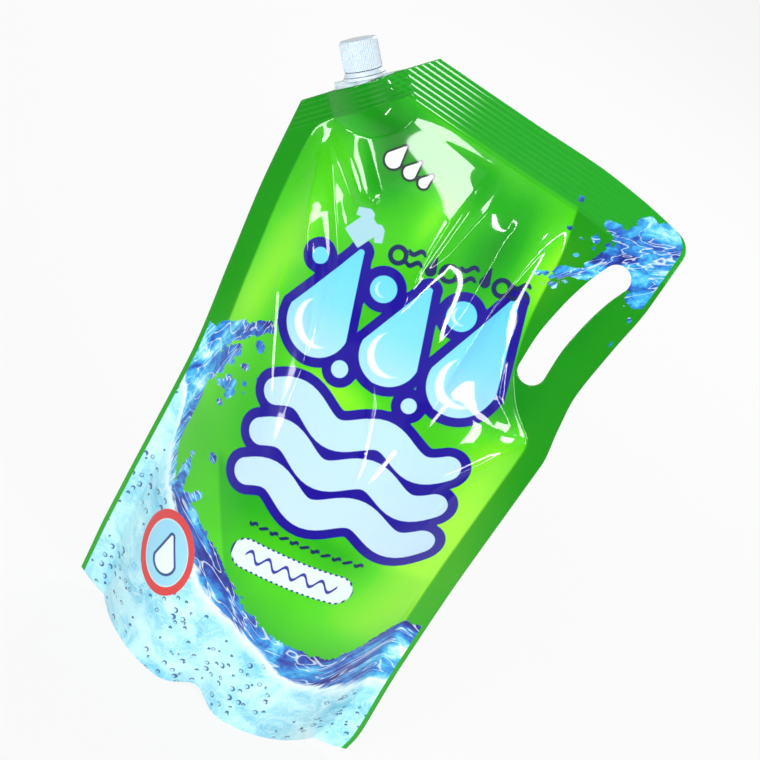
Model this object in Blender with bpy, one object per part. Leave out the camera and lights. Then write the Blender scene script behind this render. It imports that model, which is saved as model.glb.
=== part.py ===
"""A laundry detergent refill pouch: a stand-up film pouch with a carrying slot and a capped spout."""

import math

import bmesh
import bpy
import numpy as np
from mathutils import Matrix, Vector

MM = 0.001
SIDES = 32

# Pouch. The outline is drawn as shares of the base width and of the height, as (across, up).
WIDTH = 182 * MM
HEIGHT = 364 * MM
LEAN = 18 * MM
SEAL = 0.4 * MM
LEFT_EDGE = ((0.0, -0.497), (0.02, -0.502), (0.19, -0.535), (0.39, -0.570), (0.43, -0.579))
LEFT_EDGE += ((0.58, -0.634), (0.70, -0.677), (0.832, -0.710))
RIGHT_EDGE = ((0.0, 0.495), (0.03, 0.502), (0.19, 0.483), (0.39, 0.472), (0.58, 0.472), (0.64, 0.451))
RIGHT_EDGE += ((0.70, 0.435), (0.79, 0.445), (0.88, 0.459), (1.0, 0.457))
TOP_EDGE = ((-0.44, 0.9975), (-0.12, 0.998), (0.10, 1.0), (0.24, 0.996), (0.34, 0.990), (0.45, 0.980))
CUT_LOW = (-0.710, 0.832)
CUT_HIGH = (-0.442, 0.9975)
TOP_CORNER = 9 * MM
ARCH_START = 0.7

# Seals
SIDE_SEAL = 12 * MM
BASE_SEAL = 19 * MM
CUT_SEAL = 13.5 * MM
TOP_SEAL = 26 * MM
TOP_RIBS = 9
RIB_RELIEF = 0.16 * MM
FLANGE_EDGE = ((0.55, 0.62), (0.60, 0.41), (0.64, 0.30), (0.69, 0.235))
FLANGE_EDGE += ((0.76, 0.195), (0.86, 0.165), (0.94, 0.12))
SEAL_BLEND = 4 * MM

# Filled depth of one side, along the height, and the form of its section from base to top
DEPTH = 42.5 * MM
BULGE = ((0.0, 1.0), (0.13, 1.04), (0.36, 0.86), (0.55, 0.60), (0.74, 0.33), (0.86, 0.15), (0.93, 0.0))
SECTION = ((0.0, 3.0), (0.3, 2.4), (1.0, 2.0))
FOLD_FADE = 9 * MM

# Base: two lobes with a dent between them, lifted side corners and a gusset raised behind its skirt.
# The gusset rises between the first and the second share of its half depth, and of its width.
BASE_REACH = 0.12
DENT = 12 * MM
BACK_DENT = 0.5
DENT_SPREAD = 11.5 * MM
DENT_RISE = 70 * MM
DENT_LIFT = 3.5 * MM
CORNER_LIFT = 7.5 * MM
CORNER_REACH = 0.33
SKIRT = 0.5 * MM
GUSSET_RISE = 6 * MM
GUSSET_FLAT = 0.55
GUSSET_RAISED = 0.8
GUSSET_ENDS = (0.24, 0.34)

# Creases of the front and the back: height, reach to the left and right of the path,
# and the path's (across, up, strength) points
CREASES = (
    (
        4.6 * MM,
        9 * MM,
        13 * MM,
        ((-0.60, 0.82, 0.3), (-0.575, 0.775, 1), (-0.52, 0.715, 1), (-0.45, 0.665, 1), (-0.36, 0.59, 0)),
    ),
    (
        2.6 * MM,
        5 * MM,
        8 * MM,
        ((-0.575, 0.81, 0.2), (-0.53, 0.785, 0.8), (-0.42, 0.722, 1), (-0.36, 0.685, 1), (-0.25, 0.59, 0)),
    ),
    (
        -3.6 * MM,
        5 * MM,
        6 * MM,
        ((-0.585, 0.83, 0.4), (-0.59, 0.76, 1), (-0.61, 0.665, 0.8), (-0.60, 0.52, 0)),
    ),
    (
        4.4 * MM,
        15 * MM,
        4 * MM,
        ((-0.14, 0.93, 0.3), (-0.148, 0.875, 1), (-0.155, 0.82, 1), (-0.15, 0.75, 0.8), (-0.12, 0.65, 0)),
    ),
    (
        2.6 * MM,
        6 * MM,
        12 * MM,
        ((-0.093, 0.915, 0.2), (-0.085, 0.86, 1), (-0.105, 0.78, 0.8), (-0.15, 0.70, 0)),
    ),
    (
        5.0 * MM,
        10 * MM,
        5 * MM,
        ((0.148, 0.93, 0.2), (0.11, 0.84, 1), (0.093, 0.75, 1), (0.10, 0.63, 0.7), (0.13, 0.5, 0)),
    ),
    (
        -4.5 * MM,
        8 * MM,
        7 * MM,
        ((0.17, 0.76, 0), (0.20, 0.69, 1), (0.25, 0.635, 1), (0.33, 0.61, 0.8), (0.42, 0.59, 0)),
    ),
    (
        -2.4 * MM,
        8 * MM,
        8 * MM,
        ((0.02, 0.92, 0.3), (0.01, 0.83, 1), (0.03, 0.72, 0.6), (0.02, 0.62, 0)),
    ),
)
BACK_CREASES = (
    (
        3.6 * MM,
        8 * MM,
        5 * MM,
        ((-0.50, 0.80, 0.2), (-0.40, 0.72, 1), (-0.30, 0.62, 0.7), (-0.25, 0.50, 0)),
    ),
    (
        4.0 * MM,
        5 * MM,
        9 * MM,
        ((-0.16, 0.92, 0.2), (-0.13, 0.83, 1), (-0.10, 0.72, 0.8), (-0.12, 0.58, 0)),
    ),
    (
        -3.4 * MM,
        7 * MM,
        7 * MM,
        ((0.03, 0.91, 0.3), (0.04, 0.80, 1), (0.06, 0.68, 0.6), (0.05, 0.56, 0)),
    ),
    (
        -4.0 * MM,
        8 * MM,
        7 * MM,
        ((0.17, 0.76, 0), (0.20, 0.69, 1), (0.25, 0.63, 1), (0.33, 0.60, 0.8), (0.42, 0.58, 0)),
    ),
)
FINGER = ((-0.635, 0.868), (-0.40, 0.782))
FINGER_WIDTH = 11 * MM
FINGER_HEIGHT = 3.5 * MM
FINGER_TAPER = 0.3

# Carrying slot: the place of its lower round end, the length between both ends, and its bow to the side
SLOT_FOOT = (0.288, 0.692)
SLOT_WIDTH = 15.5 * MM
SLOT_LENGTH = 67.7 * MM
SLOT_BOW = ((0.0, 0.0), (0.26, -0.9 * MM), (0.54, 0.7 * MM), (0.82, 4.4 * MM), (1.0, 8.4 * MM))

# Film tented over the spout's weld base
TENT_LENGTH = 44 * MM
TENT_FILM = 1.1 * MM
TENT_REACH = 44 * MM

# Spout, measured along its axis from the cut edge
SPOUT_ALONG_CUT = 0.468
SPOUT_TILT = math.radians(6.8)
CLEARANCE = 0.3 * MM
WELD_LENGTH = 34 * MM
WELD_WIDTH = 13 * MM
WELD_DEPTH = 14.5 * MM
WELD_RIBS = 3
WELD_RIB_RELIEF = 0.5 * MM
WELD_RIB_STEP = 0.1 * MM
COLLAR_START = 1.7 * MM
COLLAR_HEIGHT = 1.6 * MM
COLLAR_RADIUS = 11.4 * MM
NECK_RADIUS = 7.6 * MM
NECK_WALL = 2.1 * MM
NECK_TOP = 19.8 * MM
NECK_LIP = 0.4 * MM
BEAD_RELIEF = 1.0 * MM
BEAD_HEIGHT = 0.9 * MM
OVERRUN = 1 * MM
POCKET_OVERRUN = 4 * MM

# Tamper ring
RING_HEIGHT = 2.4 * MM
RING_WALL = 2.2 * MM
RING_FLARE = 0.7 * MM

# Two-start thread
THREAD_STARTS = 2
THREAD_PITCH = 3 * MM
THREAD_HEIGHT = 0.8 * MM
THREAD_CLEARANCE = 0.55 * MM
THREAD_OFFSET = 2.4 * MM
THREAD_ROOT = 1.1 * MM
THREAD_CREST = 0.7 * MM
THREAD_TURNS = 1.0
THREAD_STEPS = 18
THREAD_FOOT = 0.4 * MM
THREAD_START = math.radians(2)

# Screw cap, whose bore clears the neck's thread, and its loose sealing disc
CAP_BORE = NECK_RADIUS + THREAD_HEIGHT + THREAD_CLEARANCE
CAP_WALL = 1.3 * MM
CAP_GAP = 0.4 * MM
CAP_TOP = 1.4 * MM
CAP_CHAMFER = 0.9 * MM
CAP_DOME = 0.4 * MM
CAP_FLAT = 0.4
CAP_RIBS = 36
CAP_RIB_DEPTH = 0.35 * MM
CAP_RIB_END = 0.5 * MM
LINER_CLEARANCE = 0.15 * MM
LINER_RADIUS = CAP_BORE - THREAD_HEIGHT - LINER_CLEARANCE
LINER_THICKNESS = 0.7 * MM

# Levels along the spout's axis
COLLAR_TOP = COLLAR_START + COLLAR_HEIGHT
RING_BOTTOM = COLLAR_TOP + CLEARANCE
RING_TOP = RING_BOTTOM + RING_HEIGHT
LINER_BOTTOM = NECK_TOP + CLEARANCE
CAP_CEILING = LINER_BOTTOM + LINER_THICKNESS + CLEARANCE

# Mesh of the film: the rows and columns it starts from, and how far its flat pieces may miss the shape
COLUMNS = 22
LOWER_ROWS = (0.0, 0.012, 0.03, 0.06, 0.10, 0.14, 0.19, 0.25, 0.31, 0.37, 0.43, 0.49, 0.54)
UPPER_ROWS = 18
REFINEMENTS = 4
MOST_MISS = 0.22 * MM
SHORTEST_EDGE = 2.4 * MM
SLOT_STEPS = 9
BASE_SHARES = (-1.0, -0.8, -0.55, -0.2, 0.2, 0.55, 0.8, 1.0)
GROOVE_SHARES = (-1.0, -0.9, -0.78, -0.66, -0.55, 0.0, 0.55, 0.66, 0.78, 0.9, 1.0)


def clear_scene():
    for item in list(bpy.data.objects):
        bpy.data.objects.remove(item, do_unlink=True)


def through(knots, places):
    """A curve through the knots without overshoot, read at the places."""
    at, value = np.array(knots, float).T
    places = np.clip(np.asarray(places, float), at[0], at[-1])
    step = np.diff(at)
    rise = np.diff(value) / step
    slope = np.zeros(len(at))
    same_way = rise[:-1] * rise[1:] > 0
    mean = 2 * rise[:-1] * rise[1:] / np.where(same_way, rise[:-1] + rise[1:], 1)
    slope[1:-1] = np.where(same_way, mean, 0)
    slope[0], slope[-1] = rise[0], rise[-1]
    span = np.clip(np.searchsorted(at, places, side="right") - 1, 0, len(step) - 1)
    t = (places - at[span]) / step[span]
    from_here = value[span] * (1 + 2 * t) * (1 - t) ** 2 + slope[span] * step[span] * t * (1 - t) ** 2
    from_next = value[span + 1] * t * t * (3 - 2 * t) + slope[span + 1] * step[span] * t * t * (t - 1)
    return from_here + from_next


def ramp(low, high, value):
    t = np.clip((value - low) / (high - low), 0, 1)
    return t * t * (3 - 2 * t)


def soft_max(first, second, blend):
    return 0.5 * (first + second + np.sqrt((first - second) ** 2 + blend**2))


def on_film(point):
    """A place drawn as shares of the width and the height, in metres."""
    return np.array((point[0] * WIDTH, point[1] * HEIGHT))


CUT_START = on_film(CUT_LOW)
CUT_VECTOR = on_film(CUT_HIGH) - CUT_START
CUT_LENGTH = float(np.hypot(*CUT_VECTOR))
CUT_ALONG = CUT_VECTOR / CUT_LENGTH
CUT_INWARD = np.array((CUT_ALONG[1], -CUT_ALONG[0]))


def left_edge(z):
    below = through(LEFT_EDGE, z / HEIGHT) * WIDTH
    on_cut = CUT_START[0] + (z - CUT_START[1]) * CUT_ALONG[0] / CUT_ALONG[1]
    return np.where(z > CUT_START[1], on_cut, below)


def right_edge(z):
    plain = through(RIGHT_EDGE, z / HEIGHT) * WIDTH
    into_corner = np.clip((z - CUT_HIGH[1] * HEIGHT + TOP_CORNER) / TOP_CORNER, 0, 1)
    return plain - TOP_CORNER * (1 - np.sqrt(1 - into_corner**2))


def top_edge(x):
    return through(TOP_EDGE, x / WIDTH) * HEIGHT


def seam(z):
    """How far the plane of the seals leans back."""
    return LEAN * np.clip(z / HEIGHT, 0, None) ** 1.5


def crease(x, z, height, left, right, path):
    """Lift of the film by one pointed fold along its path."""
    lift = np.zeros_like(x)
    for start, end in zip(path, path[1:]):
        foot = on_film(start)
        along = on_film(end) - foot
        length = np.hypot(*along)
        along = along / length
        run = (x - foot[0]) * along[0] + (z - foot[1]) * along[1]
        side = (x - foot[0]) * along[1] - (z - foot[1]) * along[0]
        t = np.clip(run / length, 0, 1)
        away = np.hypot(side, run - t * length)
        strength = start[2] + (end[2] - start[2]) * t
        reach = np.where(side > 0, left, right)
        lift = np.maximum(lift, strength * np.exp(-away / reach))
    return height * lift


def finger(x, z):
    """Lift of the rounded ridge that the spout's end pushes into the film."""
    foot, tip = on_film(FINGER[0]), on_film(FINGER[1])
    length = np.hypot(*(tip - foot))
    along = (tip - foot) / length
    run = (x - foot[0]) * along[0] + (z - foot[1]) * along[1]
    side = (x - foot[0]) * along[1] - (z - foot[1]) * along[0]
    t = np.clip(run / length, 0, 1)
    away = np.hypot(side, run - t * length) / (FINGER_WIDTH * (1 - FINGER_TAPER * t))
    return FINGER_HEIGHT * np.clip(1 - away**2, 0, 1)


def filled_span(z):
    """The sealed edges left and right of the filled chamber at this height."""
    side = SIDE_SEAL + (BASE_SEAL - SIDE_SEAL) * (1 - ramp(0, BASE_REACH * HEIGHT, z))
    under_cut = CUT_START[0] + (CUT_SEAL + (z - CUT_START[1]) * CUT_ALONG[0]) / CUT_ALONG[1]
    left = soft_max(left_edge(np.minimum(z, CUT_START[1])) + side, under_cut, SEAL_BLEND)
    right = -soft_max(side - right_edge(z), -through(FLANGE_EDGE, z / HEIGHT) * WIDTH, SEAL_BLEND)
    return left, right


def tent(x, z):
    """Half the thickness of the film drawn over the spout's weld base, running out into the chamber."""
    axis_foot = CUT_START + CUT_ALONG * CUT_LENGTH * SPOUT_ALONG_CUT
    along = (x - axis_foot[0]) * CUT_ALONG[0] + (z - axis_foot[1]) * CUT_ALONG[1]
    inward = (x - axis_foot[0]) * CUT_INWARD[0] + (z - axis_foot[1]) * CUT_INWARD[1]
    section = np.clip(1 - (2 * along / TENT_LENGTH) ** 2, 0, 1)
    return (WELD_WIDTH / 2 + TENT_FILM) * section * (1 - ramp(WELD_DEPTH, TENT_REACH, inward))


def chamber(x, z):
    """Filled depth, from 0 at the seals to 1 on the fullest line of the base."""
    left, right = filled_span(z)
    across = np.clip(np.abs(2 * x - left - right) / (right - left), 0, 1)
    form = through(SECTION, z / HEIGHT)
    below_seal = np.clip((top_edge(x) - TOP_SEAL - z) / FOLD_FADE, 0, 1)
    return (1 - across**form) * through(BULGE, z / HEIGHT) * below_seal**0.5


def dent(x):
    return np.exp(-((x / DENT_SPREAD) ** 2))


def side_depth(x, z, creases, ridge, dent_share):
    """Half the thickness of the pouch on one side of the seam."""
    depth = chamber(x, z) * DEPTH
    fade = np.clip(depth / FOLD_FADE, 0, 1)
    folds = sum(crease(x, z, *entry) for entry in creases)
    rise = np.clip(1 - z / DENT_RISE, 0, 1) ** 1.5
    shaped = depth + fade * (folds + ridge - dent_share * DENT * dent(x) * rise)
    return SEAL / 2 + np.maximum(np.maximum(shaped, 0), tent(x, z))


def front_depth(x, z):
    return side_depth(x, z, CREASES, finger(x, z), 1)


def back_depth(x, z):
    return side_depth(x, z, BACK_CREASES, 0, BACK_DENT)


def seal_ribs(row_height):
    """The ribs that the hot bars leave in the top seal, as a wave of both films together."""
    start = CUT_HIGH[1] * HEIGHT - TOP_SEAL
    turns = np.clip((row_height - start) / TOP_SEAL, 0, 1) * TOP_RIBS
    return RIB_RELIEF * np.sin(math.pi * (2 * turns - 0.5)) * (turns > 0)


def edge_lift(x, side_share):
    """How far the base edge stands off the floor at a place between its front (-1) and its back (1)."""
    outside = np.clip((np.abs(x) / WIDTH - CORNER_REACH) / (0.5 - CORNER_REACH), 0, None)
    near_edge = np.clip((np.abs(side_share) - GUSSET_FLAT) / (1 - GUSSET_FLAT), 0, 1)
    front_share = np.where(side_share < 0, 1.0, BACK_DENT)
    return CORNER_LIFT * outside**2 + DENT_LIFT * dent(x) * near_edge**2 * front_share


def film_rows():
    seal_start = CUT_HIGH[1] - TOP_SEAL / HEIGHT
    upper = np.linspace(LOWER_ROWS[-1], seal_start, UPPER_ROWS + 1)[1:]
    upper[np.argmin(np.abs(upper - CUT_LOW[1]))] = CUT_LOW[1]
    ribs = np.linspace(seal_start, CUT_HIGH[1], 2 * TOP_RIBS + 1)[1:]
    return np.concatenate([LOWER_ROWS, upper, ribs])


def film_columns():
    seal = SIDE_SEAL / WIDTH
    return np.concatenate([[0], np.linspace(seal, 1 - seal, COLUMNS - 1), [1]])


def film_point(across, up, side):
    """Places on one side's film (-1 front, 0 seam, 1 back) from shares across and up the outline."""
    row = up * HEIGHT
    x = left_edge(row) + (right_edge(row) - left_edge(row)) * across
    arch = (top_edge(x) - CUT_HIGH[1] * HEIGHT) * ramp(ARCH_START, CUT_HIGH[1], up)
    settle = ramp(BASE_REACH, 0, up)
    depth = front_depth(x, row) if side < 0 else back_depth(x, row)
    y = seam(row) + seal_ribs(row) + side * depth
    return np.stack([x, y, row + arch + edge_lift(x, side) * settle], axis=-1)


def misses(start, end):
    """How far the middle of each edge lies from the film on either side."""
    middle = (start + end) / 2
    worst = np.zeros(len(start))
    for side in (-1, 1):
        ends = film_point(*start.T, side) + film_point(*end.T, side)
        away = np.linalg.norm(film_point(*middle.T, side) - ends / 2, axis=1)
        worst = np.maximum(worst, away)
    return worst


def film_sheet():
    """The outline as a flat sheet of triangles in shares across and up, finer where the film bends."""
    sheet = bmesh.new()
    rows = [[sheet.verts.new((across, up, 0)) for across in film_columns()] for up in film_rows()]
    for lower, upper in zip(rows, rows[1:]):
        for left in range(len(lower) - 1):
            sheet.faces.new((lower[left], lower[left + 1], upper[left + 1], upper[left]))
    bmesh.ops.triangulate(sheet, faces=sheet.faces)
    for _ in range(REFINEMENTS):
        edges = list(sheet.edges)
        start = np.array([edge.verts[0].co[:2] for edge in edges])
        end = np.array([edge.verts[1].co[:2] for edge in edges])
        long = np.linalg.norm(film_point(*start.T, 0) - film_point(*end.T, 0), axis=1) > SHORTEST_EDGE
        bent = long & (misses(start, end) > MOST_MISS)
        bmesh.ops.subdivide_edges(sheet, edges=[edge for edge, cut in zip(edges, bent) if cut], cuts=1)
        bmesh.ops.triangulate(sheet, faces=sheet.faces)
    sheet.verts.index_update()
    sheet.verts.ensure_lookup_table()
    return sheet


def new_object(name, mesh, collection, material=None):
    thing = bpy.data.objects.new(name, mesh)
    collection.objects.link(thing)
    if material:
        mesh.materials.append(material)
    return thing


def mesh_of(name, points, faces):
    shape = bmesh.new()
    corners = [shape.verts.new(point) for point in points]
    for face in faces:
        shape.faces.new([corners[index] for index in face])
    bmesh.ops.remove_doubles(shape, verts=shape.verts, dist=1e-7)
    bmesh.ops.recalc_face_normals(shape, faces=shape.faces)
    mesh = bpy.data.meshes.new(name)
    shape.to_mesh(mesh)
    shape.free()
    return mesh


def loft(name, sections):
    """A closed body through closed sections that have as many points each."""
    count = len(sections[0])
    points = [point for section in sections for point in section]
    faces = []
    for level in range(len(sections) - 1):
        for side in range(count):
            following = (side + 1) % count
            base, upper = level * count, (level + 1) * count
            faces.append((base + side, base + following, upper + following, upper + side))
    faces.append(tuple(reversed(range(count))))
    faces.append(tuple(range((len(sections) - 1) * count, len(sections) * count)))
    return mesh_of(name, points, faces)


def base_columns(sheet):
    """Indices of the sheet's lowest points, from left to right."""
    lowest = [vertex for vertex in sheet.verts if vertex.co.y == 0]
    return [vertex.index for vertex in sorted(lowest, key=lambda vertex: vertex.co.x)]


def base_section(near, far):
    """The points of the base from its front edge to its back edge at one place across."""
    half_depth = (far[1] - near[1]) / 2
    if half_depth < 2 * SKIRT:
        return [near if share < 0 else far for share in BASE_SHARES]
    centre = (far[1] + near[1]) / 2
    inner = []
    for share in BASE_SHARES[1:-1]:
        inner.append((near[0], centre + share * half_depth, float(edge_lift(near[0], share))))
    return [near, *inner, far]


def pouch_mesh(sheet):
    """The front and back film from one sheet, joined round its edges and closed by the base."""
    places = np.array([vertex.co[:2] for vertex in sheet.verts])
    front = [tuple(point) for point in film_point(*places.T, -1)]
    back = [tuple(point) for point in film_point(*places.T, 1)]
    count = len(front)
    faces = []
    for triangle in sheet.faces:
        corners = [vertex.index for vertex in triangle.verts]
        faces.append(corners)
        faces.append([count + index for index in reversed(corners)])
    for edge in sheet.edges:
        first, second = (vertex.index for vertex in edge.verts)
        if len(edge.link_faces) == 1 and places[first][1] + places[second][1] > 0:
            faces.append((first, second, count + second, count + first))
    points = front + back
    columns = []
    for index in base_columns(sheet):
        columns.append(range(len(points), len(points) + len(BASE_SHARES)))
        points += base_section(front[index], back[index])
    for left, right in zip(columns, columns[1:]):
        for step in range(len(BASE_SHARES) - 1):
            faces.append((left[step], left[step + 1], right[step + 1], right[step]))
    return mesh_of("pouch", points, faces)


def gusset_groove(sheet):
    """The hollow between the skirt and the flat middle of the gusset, as a cutter."""
    below_floor = -3 * MM
    places = np.array([sheet.verts[index].co[:2] for index in base_columns(sheet)])
    sections = []
    for near, far in zip(film_point(*places.T, -1), film_point(*places.T, 1)):
        place, front, back = near[0], near[1] + SKIRT, far[1] - SKIRT
        if back - front < 6 * SKIRT:
            continue
        roof = []
        for share in GROOVE_SHARES:
            rise = max(ramp(GUSSET_FLAT, GUSSET_RAISED, abs(share)), ramp(*GUSSET_ENDS, abs(place) / WIDTH))
            height = float(edge_lift(place, share)) + GUSSET_RISE * rise if rise else below_floor / 2
            roof.append((place, share * (back if share > 0 else -front), height))
        sections.append(roof + [(place, back, below_floor), (place, front, below_floor)])
    return loft("gusset groove", sections)


def slot_outline():
    """The slot's banana outline: its path offset to both sides, with round ends."""
    steps = np.linspace(0, 1, SLOT_STEPS)
    places = on_film(SLOT_FOOT) + np.stack([through(SLOT_BOW, steps), steps * SLOT_LENGTH], axis=-1)
    heading = np.gradient(places, axis=0)
    heading /= np.hypot(*heading.T)[:, None]
    side = np.stack([heading[:, 1], -heading[:, 0]], axis=-1) * SLOT_WIDTH / 2
    outline = list(places + side)
    for end, turn in ((-1, 1), (0, -1)):
        for angle in np.linspace(0, math.pi, SLOT_STEPS)[1:-1]:
            swing = side[end] * math.cos(angle) + heading[end] * SLOT_WIDTH / 2 * math.sin(angle)
            outline.append(places[end] + turn * swing)
        if end == -1:
            outline += list((places - side)[::-1])
    return outline


def slot_cutter():
    reach = LEAN + DEPTH
    return loft("slot", [[(x, y, z) for x, z in slot_outline()] for y in (-reach, reach)])


def spout_frame():
    """The spout's frame: Z out along its axis, X along the weld base, origin on the cut edge."""
    place = CUT_START + CUT_ALONG * CUT_LENGTH * SPOUT_ALONG_CUT
    slope = float(seam(place[1] + MM) - seam(place[1] - MM)) / (2 * MM)
    outward = Matrix.Rotation(-SPOUT_TILT, 2) @ Vector(-CUT_INWARD)
    axis = Vector((outward.x, outward.y * slope, outward.y)).normalized()
    along = Vector((-outward.y, outward.x * slope, outward.x)).normalized() * -1
    along = (along - axis * along.dot(axis)).normalized()
    across = axis.cross(along)
    turn = Matrix((along, across, axis)).transposed().to_4x4()
    origin = Vector((place[0], float(seam(place[1])), place[1]))
    return Matrix.Translation(origin) @ turn


def weld_outline(half_length, half_width, steps=10):
    """A pointed oval of two arcs."""
    shares = [-math.cos(math.pi * step / steps) for step in range(steps + 1)]
    near = [(share * half_length, -half_width * (1 - share * share)) for share in shares]
    far = [(x, -y) for x, y in reversed(near[1:-1])]
    return near + far


def weld_section(grow, level):
    outline = weld_outline(WELD_LENGTH / 2 + grow, WELD_WIDTH / 2 + grow)
    return [(x, y, level) for x, y in outline]


def weld_mesh():
    """The spout's weld base, with the grooves between its weld ribs."""
    pitch = WELD_DEPTH / (2 * WELD_RIBS + 1)
    sections = [weld_section(0, -WELD_DEPTH)]
    for groove in range(WELD_RIBS):
        start = -WELD_DEPTH + pitch * (2 * groove + 1)
        stop = start + pitch
        sections.append(weld_section(0, start))
        sections.append(weld_section(-WELD_RIB_RELIEF, start + WELD_RIB_STEP))
        sections.append(weld_section(-WELD_RIB_RELIEF, stop))
        sections.append(weld_section(0, stop + WELD_RIB_STEP))
    sections.append(weld_section(0, COLLAR_START + OVERRUN))
    return loft("spout", sections)


def ring_points(radius, level, sides=SIDES):
    turn = 2 * math.pi / sides
    angles = [turn * step for step in range(sides)]
    return [(radius * math.cos(angle), radius * math.sin(angle), level) for angle in angles]


def turned_mesh(name, profile, sides=SIDES):
    """A solid turned about Z, whose profile runs up its outside as (radius, level)."""
    return loft(name, [ring_points(radius, level, sides) for radius, level in profile])


def tube_mesh(name, profile, sides=SIDES):
    """A ring turned about Z from a closed profile of (radius, level)."""
    rings = [ring_points(radius, level, sides) for radius, level in profile]
    points = [point for ring in rings for point in ring]
    faces = []
    for level in range(len(rings)):
        base, upper = level * sides, (level + 1) % len(rings) * sides
        for side in range(sides):
            following = (side + 1) % sides
            faces.append((base + side, base + following, upper + following, upper + side))
    return mesh_of(name, points, faces)


def thread_mesh(name, start_angle, start_level, foot, crest):
    """One helical ridge from its foot radius, inside the wall, to its crest radius."""
    rise = THREAD_STARTS * THREAD_PITCH
    profile = ((foot, -THREAD_ROOT), (crest, -THREAD_CREST), (crest, THREAD_CREST), (foot, THREAD_ROOT))
    sections = []
    for step in range(int(THREAD_STEPS * THREAD_TURNS) + 1):
        angle = start_angle + 2 * math.pi * step / THREAD_STEPS
        level = start_level + rise * step / THREAD_STEPS
        section = [(r * math.cos(angle), r * math.sin(angle), level + width / 2) for r, width in profile]
        sections.append(section)
    return loft(name, sections)


def add_thread(target, name, start_level, foot, crest, frame, helpers):
    """Joins the thread's ridges to the wall that carries them."""
    for start in range(THREAD_STARTS):
        angle = THREAD_START + 2 * math.pi * start / THREAD_STARTS
        ridge = thread_mesh(name, angle, start_level, foot, crest)
        add_boolean(target, add_helper(f"{name} {start}", ridge, frame, helpers), "UNION")


def add_boolean(target, cutter, operation):
    modifier = target.modifiers.new(cutter.name, "BOOLEAN")
    modifier.operation = operation
    modifier.solver = "EXACT"
    modifier.object = cutter


def make_material(name, colour, roughness):
    material = bpy.data.materials.new(name)
    material.use_nodes = True
    shader = material.node_tree.nodes["Principled BSDF"]
    shader.inputs["Base Color"].default_value = (*colour, 1)
    shader.inputs["Roughness"].default_value = roughness
    shader.inputs["Metallic"].default_value = 0
    material.diffuse_color = (*colour, 1)
    return material


def make_collection(name):
    collection = bpy.data.collections.new(name)
    bpy.context.scene.collection.children.link(collection)
    return collection


def add_helper(name, mesh, frame, helpers):
    helper = new_object(name, mesh, helpers)
    helper.matrix_world = frame
    helper.hide_render = True
    helper.display_type = "WIRE"
    return helper


def build_pouch(parts, helpers, frame):
    material = make_material("printed film", (0.05, 0.45, 0.03), 0.2)
    sheet = film_sheet()
    pouch = new_object("pouch", pouch_mesh(sheet), parts, material)
    still = Matrix.Identity(4)
    levels = (-WELD_DEPTH - CLEARANCE, POCKET_OVERRUN)
    pocket = loft("spout pocket", [weld_section(CLEARANCE, level) for level in levels])
    add_boolean(pouch, add_helper("spout pocket", pocket, frame, helpers), "DIFFERENCE")
    add_boolean(pouch, add_helper("carrying slot", slot_cutter(), still, helpers), "DIFFERENCE")
    add_boolean(pouch, add_helper("gusset groove", gusset_groove(sheet), still, helpers), "DIFFERENCE")
    sheet.free()


def build_spout(parts, helpers, frame):
    spout = new_object("spout", weld_mesh(), parts, make_material("spout", (0.82, 0.86, 0.92), 0.35))
    spout.matrix_world = frame
    bead = RING_TOP + CLEARANCE
    neck_profile = (
        (COLLAR_RADIUS, COLLAR_START),
        (COLLAR_RADIUS, COLLAR_TOP),
        (NECK_RADIUS, COLLAR_TOP),
        (NECK_RADIUS, bead),
        (NECK_RADIUS + BEAD_RELIEF, bead + BEAD_HEIGHT / 2),
        (NECK_RADIUS, bead + BEAD_HEIGHT),
        (NECK_RADIUS, NECK_TOP - NECK_LIP),
        (NECK_RADIUS - NECK_LIP, NECK_TOP),
    )
    bore_radius = NECK_RADIUS - NECK_WALL
    bore_profile = ((bore_radius, -WELD_DEPTH - OVERRUN), (bore_radius, NECK_TOP + OVERRUN))
    foot, crest = NECK_RADIUS - THREAD_FOOT, NECK_RADIUS + THREAD_HEIGHT
    add_boolean(spout, add_helper("neck", turned_mesh("neck", neck_profile), frame, helpers), "UNION")
    add_thread(spout, "neck thread", RING_TOP + THREAD_OFFSET, foot, crest, frame, helpers)
    add_boolean(spout, add_helper("bore", turned_mesh("bore", bore_profile), frame, helpers), "DIFFERENCE")


def build_tamper_ring(parts, frame):
    inner = NECK_RADIUS + CLEARANCE
    outer = inner + RING_WALL
    profile = (
        (inner, RING_BOTTOM),
        (outer + RING_FLARE, RING_BOTTOM),
        (outer, RING_TOP),
        (inner, RING_TOP),
    )
    material = make_material("tamper ring", (0.80, 0.84, 0.91), 0.35)
    ring = new_object("tamper_ring", tube_mesh("tamper_ring", profile), parts, material)
    ring.matrix_world = frame


def build_liner(parts, frame):
    profile = ((LINER_RADIUS, LINER_BOTTOM), (LINER_RADIUS, LINER_BOTTOM + LINER_THICKNESS))
    material = make_material("sealing disc", (0.85, 0.86, 0.86), 0.5)
    liner = new_object("cap_liner", turned_mesh("cap_liner", profile), parts, material)
    liner.matrix_world = frame


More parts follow.
